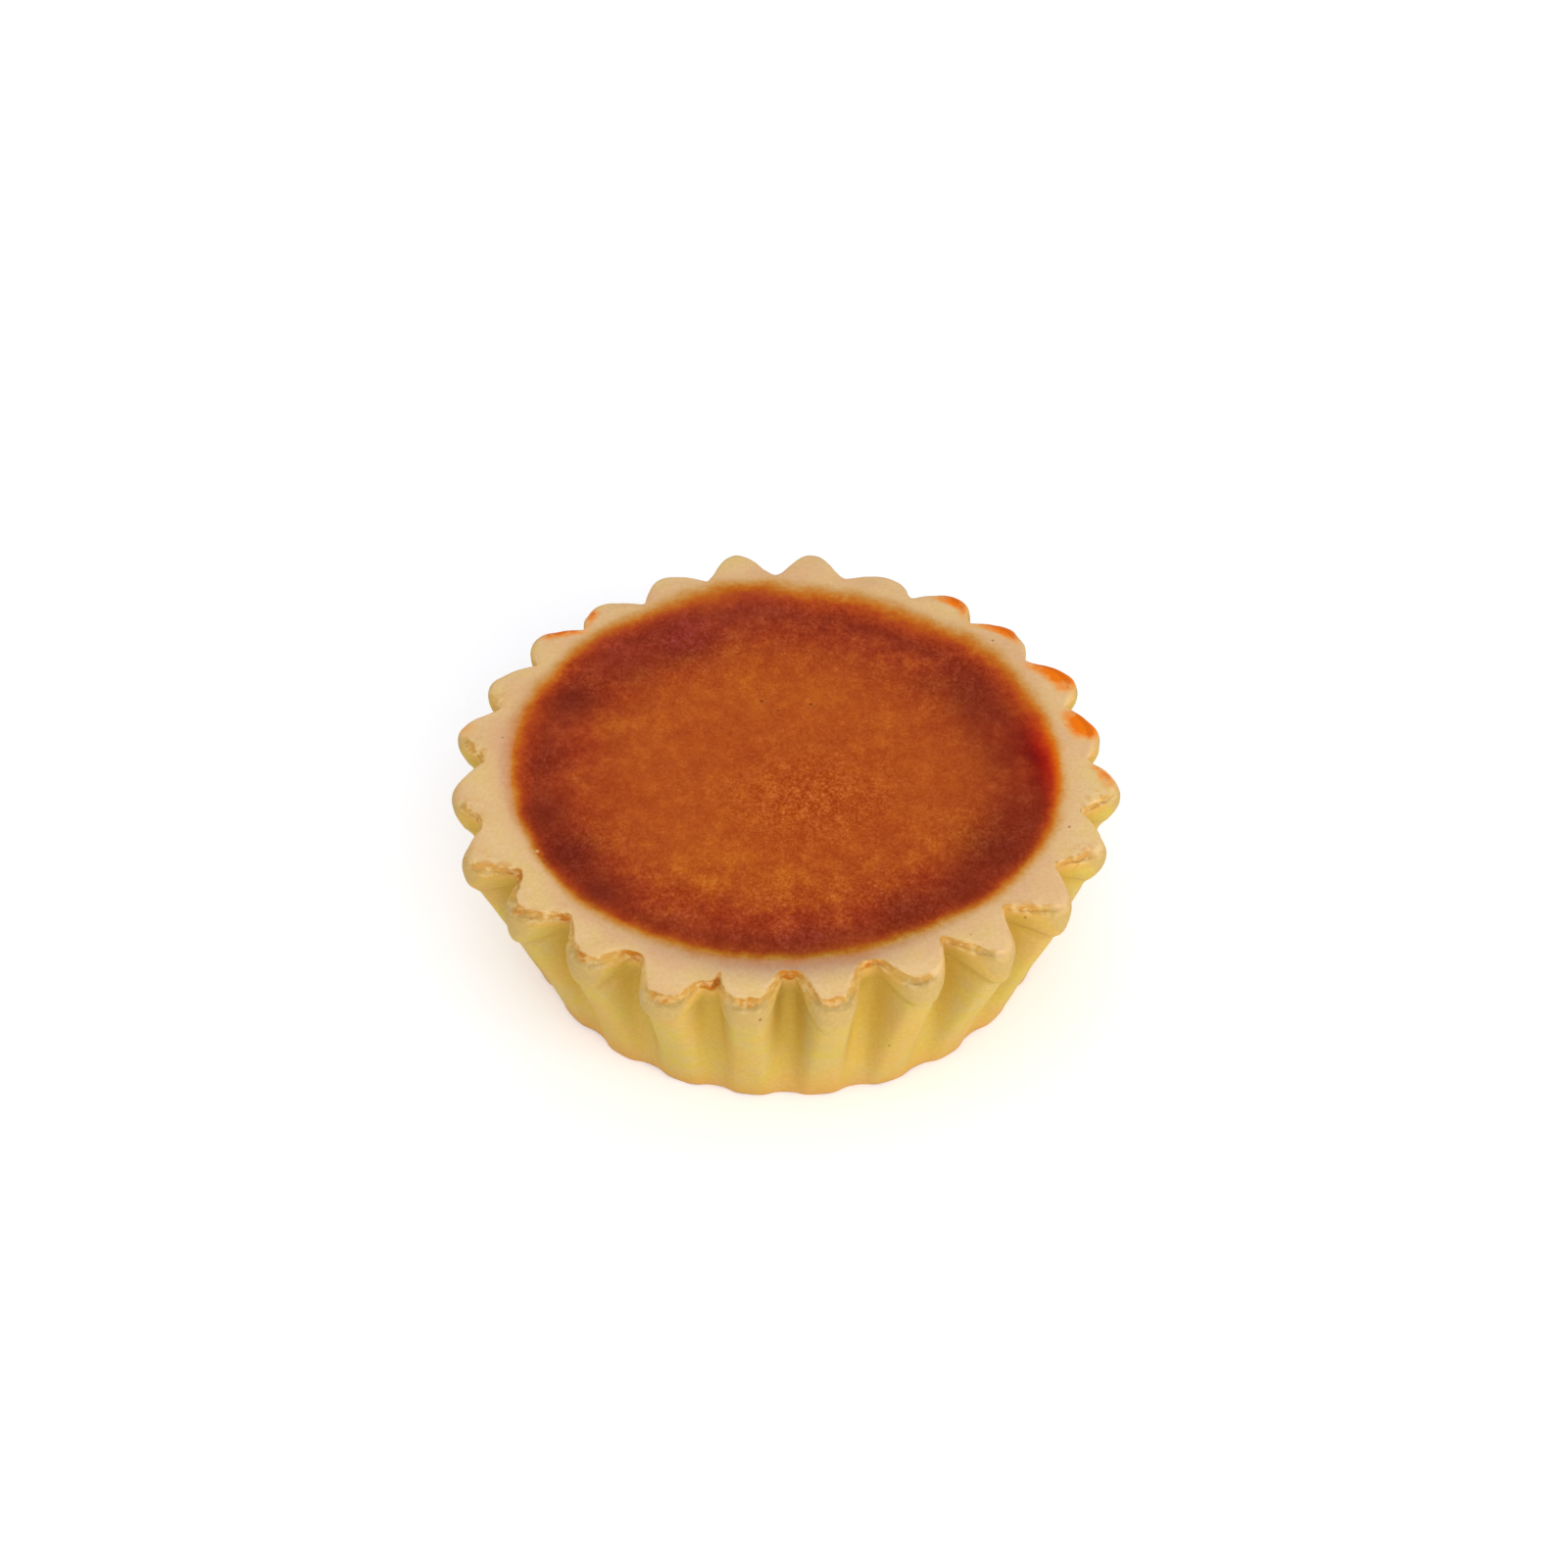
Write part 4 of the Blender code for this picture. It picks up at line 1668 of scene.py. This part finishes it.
    def _roughen(self, skin: ClosedSurface) -> None:
        """Give the torn band its crumbs, and the dough its fine unevenness.

        Args:
            skin: The outside, which is changed.
        """
        zone = skin.marks[Mark.ZONE]
        torn = skin.marks[Mark.TORN] * between(zone, self.crumbs_from, self.crumbs_to)
        scratched = self._scratching(skin.grid, zone) * (1.0 - ease(zone, *self.crumbs_to))
        crumbly = self.torn_crumbs * torn + self.scratch_crumbs * scratched
        dough = ease(zone, *self.dough_from) * self.dough.at(skin.grid)
        skin.raise_by(crumbly * self.crumbs.at(skin.grid) + dough)

    def _bottom(self, ring: Array) -> tuple[Array, Array]:
        """Rows of the flat base, from its middle out to its edge, and their zones."""
        shares = np.array(self.base_rows)[:, None, None]
        return ring[None] * shares * [1.0, 1.0, 0.0], self.flat_zone * shares[:, :, 0]

    def _top(self, edge: Array) -> tuple[Array, Array]:
        """Rows from the torn edge over the top face, down the hollow and to its middle.

        Each column eases from its place on the torn edge to its even place round the
        rim. The top face is crowned by 4t(1 - t)^2 of its height, is level at the
        hollow's edge and curves down from there under the custard.

        Args:
            edge: The last row of the outside.

        Returns:
            The rows, and their zones.
        """
        s = self.sizes
        even = self._even_angles()
        share = (np.arange(1, self.top_rows + 1) / self.top_rows)[:, None]
        astray = wrapped(bearing(edge) - even) * (1.0 - ease(share, 0.0, self.straightened))
        inner = self.hollow.radius_at(np.degrees(even))
        radius = blend(np.hypot(edge[:, 0], edge[:, 1]), inner, share)
        level = blend(edge[:, 2], s.height, ease(share, 0.0, self.levelled))
        height = level + 4.0 * s.crown * share * (1.0 - share) ** 2
        hidden = inner - self.tucked_under
        low = [(blend(inner, hidden, 0.5), s.height - 0.25 * self.tuck_depth),
               (hidden, s.height - self.tuck_depth),
               (hidden - self.hollow_lean, s.height - self.hollow_drop),
               (s.floor_radius, s.floor_height + s.floor_round),
               (s.floor_radius - s.floor_round, s.floor_height),
               (self.hollow_middle, s.floor_height)]
        low = np.array([np.broadcast_arrays(*pair, inner)[:2] for pair in low])
        angle = np.vstack([even + astray, np.broadcast_to(even, low[:, 0].shape)])
        rows = on_circle(np.vstack([radius, low[:, 0]]), angle,
                         np.vstack([height, low[:, 1]]))
        zones = np.vstack([Zone.TOP_EDGE + share, np.array(self.hollow_zones)[:, None]])
        return rows, np.broadcast_to(zones, angle.shape)

    def _browning(self, grid: Array, zone: Array) -> Array:
        """How browned each point is: a bell along the rim, faded inwards from its edge.

        Args:
            grid: Places, up the outside and over the top.
            zone: The zone of each point.

        Returns:
            Shares, for each point.
        """
        angle = np.degrees(bearing(grid))
        radius = np.hypot(grid[..., 0], grid[..., 1])
        edge = radius[np.searchsorted(zone[:, 0], Zone.TOP_EDGE)]
        inwards = np.where(zone <= Zone.TOP_EDGE, 0.0, edge - radius)
        total = np.zeros(grid.shape[:2])
        for centre, width, reach, strength in self.browned:
            faded = ease(inwards, self.browned_core * reach, reach + self.browned_past)
            total += strength * hump(turned(angle, centre), width) * (1.0 - faded)
        return total * ease(zone, *self.browned_from)

    def _scratching(self, grid: Array, zone: Array) -> Array:
        """How scratched the edge is: bells round the rim, over the bead and the edge."""
        along = sectors(np.degrees(bearing(grid)), self.scratched)
        return along * between(zone, self.scratched_from, self.scratched_to)

    def build(self) -> bpy.types.Object:
        """Build the crust and put it in the place of its solid.

        Returns:
            The crust, dressed.
        """
        outside = self._outside()
        self._roughen(outside)
        bottom, bottom_zone = self._bottom(outside.grid[0])
        top, top_zone = self._top(outside.grid[-1])
        grid = np.concatenate([bottom, outside.grid, top])
        fresh_top = self._cracked() * (1.0 - ease(top_zone, *self.crack_ends))
        ends = {Mark.ZONE: (bottom_zone, top_zone), Mark.TORN: (0.0, 0.0),
                Mark.CREST: (1.0, outside.marks[Mark.CREST][-1]),
                Mark.FRESHLY_TORN: (0.0, fresh_top)}
        marks = {mark: np.concatenate([np.broadcast_to(below, bottom.shape[:2]),
                                       outside.marks[mark],
                                       np.broadcast_to(above, top.shape[:2])])
                 for mark, (below, above) in ends.items()}
        zone = marks[Mark.ZONE]
        sag = self.sag_depth * between(zone, self.sag_from, self.sag_to)
        grid[..., 2] = grid[..., 2] - sag * (1.0 + self.sag.at(grid))
        marks.update(self.hollow.marks(grid, self.shade_place))
        rosy = sectors(np.degrees(bearing(grid)), self.rosy)
        inside = marks[Mark.INSIDE_EDGE] - self.rosy_place
        marks.update({Mark.SCRATCHED: self._scratching(grid, zone),
                      Mark.BROWNED: self._browning(grid, zone),
                      Mark.ROSY: rosy * hump(inside, self.rosy_width)})
        piece = ClosedSurface(grid, marks).make("fluted_crust")
        piece.data.materials.append(self.finish.make())
        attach(piece, "root")
        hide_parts("pastry_shell")
        return piece


@dataclass
class Custard:
    """The filling, with its skin risen in a low ring near the edge."""

    hollow: CustardRound = field(default_factory=CustardRound)
    finish: CustardFinish = field(default_factory=CustardFinish)
    rim_height: float = 23.1
    # How far the skin goes under the crust, how far it tucks down there, and how far it
    # has settled away from its edge
    overlap: float = 0.3
    past_rows: tuple[float, ...] = (1.0, 0.5)
    tuck: float = 0.1
    settled: float = 0.04
    settled_by: float = 0.06
    ring_share: float = 0.86
    ring_rise: float = 0.02
    ring_width: float = 0.16
    ring_starts: float = 0.08
    middle_dip: float = 0.25
    floor_radius: float = 27.3
    floor_height: float = 3.5
    corner_round: float = 1.6
    columns: int = 720
    skin_rows: int = 118
    row_crowding: float = 0.95
    # Unevenness of the skin: broad, then close and fine away from the edge
    sway: Unevenness = Unevenness(seed=21, size=14.0, height=0.1)
    swell: Unevenness = Unevenness(seed=22, size=3.2, layers=2, height=0.035)
    pucker: Unevenness = Unevenness(seed=23, size=0.9, layers=2, height=0.012)
    uneven_from: Span = (0.02, 0.12)
    # Places in the skin: angle, radius, width and strength
    dark_places: tuple[Quad, ...] = (
        (120.0, 25.2, 5.0, 0.75), (34.0, 25.6, 4.5, 0.6), (4.0, 25.2, 4.6, 0.6),
        (212.0, 28.6, 4.5, 0.9), (196.0, 28.6, 4.0, 0.65), (226.0, 28.8, 3.5, 0.75),
        (330.0, 28.0, 5.0, 0.85), (345.0, 27.8, 4.5, 0.55), (314.0, 28.0, 4.0, 0.75),
        (298.0, 27.4, 4.5, 0.65), (276.0, 27.8, 4.0, 0.45), (178.0, 27.6, 3.5, 0.5),
        (156.0, 27.0, 4.0, 0.75), (139.0, 25.4, 4.3, 0.5), (20.0, 24.6, 4.0, 0.5),
        (100.0, 25.0, 3.0, 0.35), (343.0, 16.0, 6.0, 0.2),
        (42.0, 21.4, 2.6, 0.35), (40.0, 5.0, 3.5, 0.2), (140.0, 10.0, 3.0, 0.2),
        (245.0, 28.0, 3.0, 0.25))
    golden_places: tuple[Quad, ...] = (
        (266.0, 19.0, 3.8, 0.8), (243.0, 20.0, 4.8, 0.9), (240.0, 10.0, 3.5, 0.5),
        (102.0, 15.8, 3.8, 1.0), (75.0, 14.0, 3.0, 0.5), (30.0, 12.0, 3.0, 0.3),
        (160.0, 21.0, 2.5, 0.5), (322.0, 20.5, 3.5, 0.5), (300.0, 18.0, 3.0, 0.4),
        (282.0, 22.5, 3.0, 0.5), (330.0, 24.6, 3.0, 0.5), (98.0, 28.0, 2.5, 0.2),
        (20.0, 29.8, 2.0, 0.4), (108.0, 29.8, 2.4, 0.35), (240.0, 29.7, 1.8, 0.3))
    plum_places: tuple[Quad, ...] = (
        (116.0, 27.0, 4.0, 0.6), (98.0, 29.5, 4.0, 0.35), (134.0, 29.0, 3.5, 0.35),
        (273.0, 28.5, 2.8, 0.2))
    grainy_places: tuple[Quad, ...] = (
        (280.0, 6.0, 6.5, 0.8), (325.0, 9.0, 6.0, 0.5), (120.0, 25.0, 7.0, 0.58),
        (80.0, 26.0, 8.0, 0.5), (40.0, 26.0, 7.0, 0.58), (210.0, 27.5, 5.0, 0.65),
        (270.0, 25.0, 7.0, 0.65), (300.0, 26.0, 7.0, 0.58), (150.0, 28.0, 5.0, 0.58),
        (180.0, 28.0, 4.0, 0.58), (240.0, 26.0, 5.0, 0.58), (332.0, 27.0, 6.0, 0.58))
    pit_depth: float = 0.1
    pit_spread: float = 1.4

    def _height(self, places: Array, share: Array, past: Array) -> Array:
        """The height of the skin.

        It is the rim's, less a dip in the middle that eases out to the ring, plus a bell
        over the ring and the skin's unevenness, less the square of the way past the edge,
        which takes the skin under the crust.

        Args:
            places: Points of the skin.
            share: The share of the way from the middle to the edge of each row.
            past: How far past the edge each point lies.

        Returns:
            Heights.
        """
        inwards = 1.0 - share
        ring = hump(share - self.ring_share, self.ring_width)
        ring = ring * ease(inwards, 0.0, self.ring_starts)
        dip = self.middle_dip * (1.0 - ease(share, 0.0, self.ring_share))
        lively = ease(inwards, *self.uneven_from)
        uneven = self.sway.at(places) * inwards
        uneven = uneven + lively * (self.swell.at(places) + self.pucker.at(places))
        tucked = self.tuck * np.square(past / self.overlap)
        tucked = tucked + self.settled * ease(inwards, 0.0, self.settled_by)
        height = self.rim_height + self.ring_rise * ring - dip + uneven - tucked
        for x, y, _height, size in self.finish.pits:
            away = np.hypot(places[..., 0] - x, places[..., 1] - y)
            height = height - self.pit_depth * hump(away, self.pit_spread * size)
        return height

    def _skin(self) -> ClosedSurface:
        """The skin from its edge to its middle, over its side and its floor.

        Returns:
            The closed surface, with its marks.
        """
        angle = np.linspace(0.0, 360.0, self.columns, endpoint=False)[None, :]
        way = np.radians(angle)
        edge = self.hollow.radius_at(angle)
        share = (np.arange(self.skin_rows) / self.skin_rows)[:, None]
        share = 1.0 - share ** self.row_crowding
        past = np.array(self.past_rows)[:, None] * self.overlap
        radius = np.vstack([edge + past, share * edge])
        share = np.vstack([np.ones(past.shape), share])
        places = on_circle(radius, way, 0.0)
        places[..., 2] = self._height(places, share, np.maximum(0.0, radius - edge))
        low, corner = self.floor_height, self.corner_round
        side = np.array([[1.0, low], [self.floor_radius - corner, low],
                         [self.floor_radius, low + corner]])
        grid = np.concatenate([on_circle(side[:, :1], way, side[:, 1:]), places])
        return ClosedSurface(grid, self.hollow.marks(grid, 0.0) | {
            Mark.DARKENED: spots(grid, self.dark_places),
            Mark.GOLDEN: spots(grid, self.golden_places),
            Mark.GRAINY: np.clip(spots(grid, self.grainy_places), 0.0, 1.0),
            Mark.PLUM: spots(grid, self.plum_places)})

    def build(self) -> bpy.types.Object:
        """Build the custard and put it in the place of its solid.

        Returns:
            The custard, dressed.
        """
        piece = self._skin().make("custard_filling")
        piece.data.materials.append(self.finish.make())
        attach(piece, "root")
        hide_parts("custard")
        return piece


# The studio


@dataclass
class SoftLight:
    """A large soft light that looks at the pie."""

    name: str
    place: Triple
    width: float
    power: float
    colour: Colour = Colour(255, 255, 255)

    def build(self) -> bpy.types.Object:
        """Hang the light.

        Returns:
            The light.
        """
        lamp = bpy.data.lights.new(self.name, "AREA")
        lamp.shape = "DISK"
        lamp.size = self.width * MM
        lamp.energy = self.power
        lamp.color = self.colour.linear()[:3]
        light = bpy.data.objects.new(self.name, lamp)
        bpy.context.scene.collection.objects.link(light)
        x, y, z = (length * MM for length in self.place)
        light.location = (x, y, z)
        flat = math.hypot(x, y)
        light.rotation_euler = (math.atan2(flat, z), 0.0, math.atan2(y, x) + math.pi / 2.0)
        return light


@dataclass
class Studio:
    """A pale floor, even light from all round, and soft lights above."""

    floor_half_width: float = 4000.0
    surround: float = 0.65
    lights: tuple[SoftLight, ...] = (
        SoftLight("front_light", (60.0, -460.0, 330.0), 420.0, 1.0),
        SoftLight("low_right_light", (420.0, -310.0, 150.0), 260.0, 1.08),
        SoftLight("left_light", (-460.0, -160.0, 300.0), 420.0, 0.4),
        SoftLight("back_light", (-60.0, 430.0, 420.0), 420.0, 0.4),
    )
    floor_finish: FloorFinish = field(default_factory=FloorFinish)

    def build(self) -> bpy.types.Object:
        """Set up the floor, the surroundings and the lights.

        Returns:
            The floor.
        """
        world = bpy.data.worlds.new("studio")
        world.use_nodes = True
        background = world.node_tree.nodes["Background"]
        background.inputs["Color"].default_value = (1.0, 1.0, 1.0, 1.0)
        background.inputs["Strength"].default_value = self.surround
        bpy.context.scene.world = world
        bpy.context.scene.view_settings.view_transform = "Standard"
        for light in self.lights:
            light.build()
        half = self.floor_half_width * MM
        data = bpy.data.meshes.new("floor")
        data.from_pydata([(-half, -half, 0.0), (half, -half, 0.0), (half, half, 0.0),
                          (-half, half, 0.0)], [], [(0, 1, 2, 3)])
        data.materials.append(self.floor_finish.make())
        floor = bpy.data.objects.new("floor", data)
        bpy.context.scene.collection.objects.link(floor)
        return floor


@dataclass
class PhotoCamera:
    """The camera, where the photograph was taken from."""

    place: Triple = (-0.08, -255.1, 256.2)
    pitch: float = 42.796
    lens: float = 68.13

    def build(self) -> bpy.types.Object:
        """Set up the camera.

        Returns:
            The camera.
        """
        data = bpy.data.cameras.new("photo_camera")
        data.lens = self.lens
        data.sensor_width = 36.0
        data.clip_start = 0.01
        camera = bpy.data.objects.new("photo_camera", data)
        camera.location = [length * MM for length in self.place]
        camera.rotation_euler = (math.radians(90.0 - self.pitch), 0.0, 0.0)
        bpy.context.scene.collection.objects.link(camera)
        bpy.context.scene.camera = camera
        return camera


def main() -> None:
    """Build the studio and the pie, and log how many faces each piece has."""
    logging.basicConfig(level=logging.INFO, format="%(name)s: %(message)s")
    PhotoCamera().build()
    Studio().build()
    for maker in (Crust(), Custard()):
        piece = maker.build()
        LOG.info("%s: %d faces", piece.name, len(piece.data.polygons))


if __name__ == "__main__":
    main()
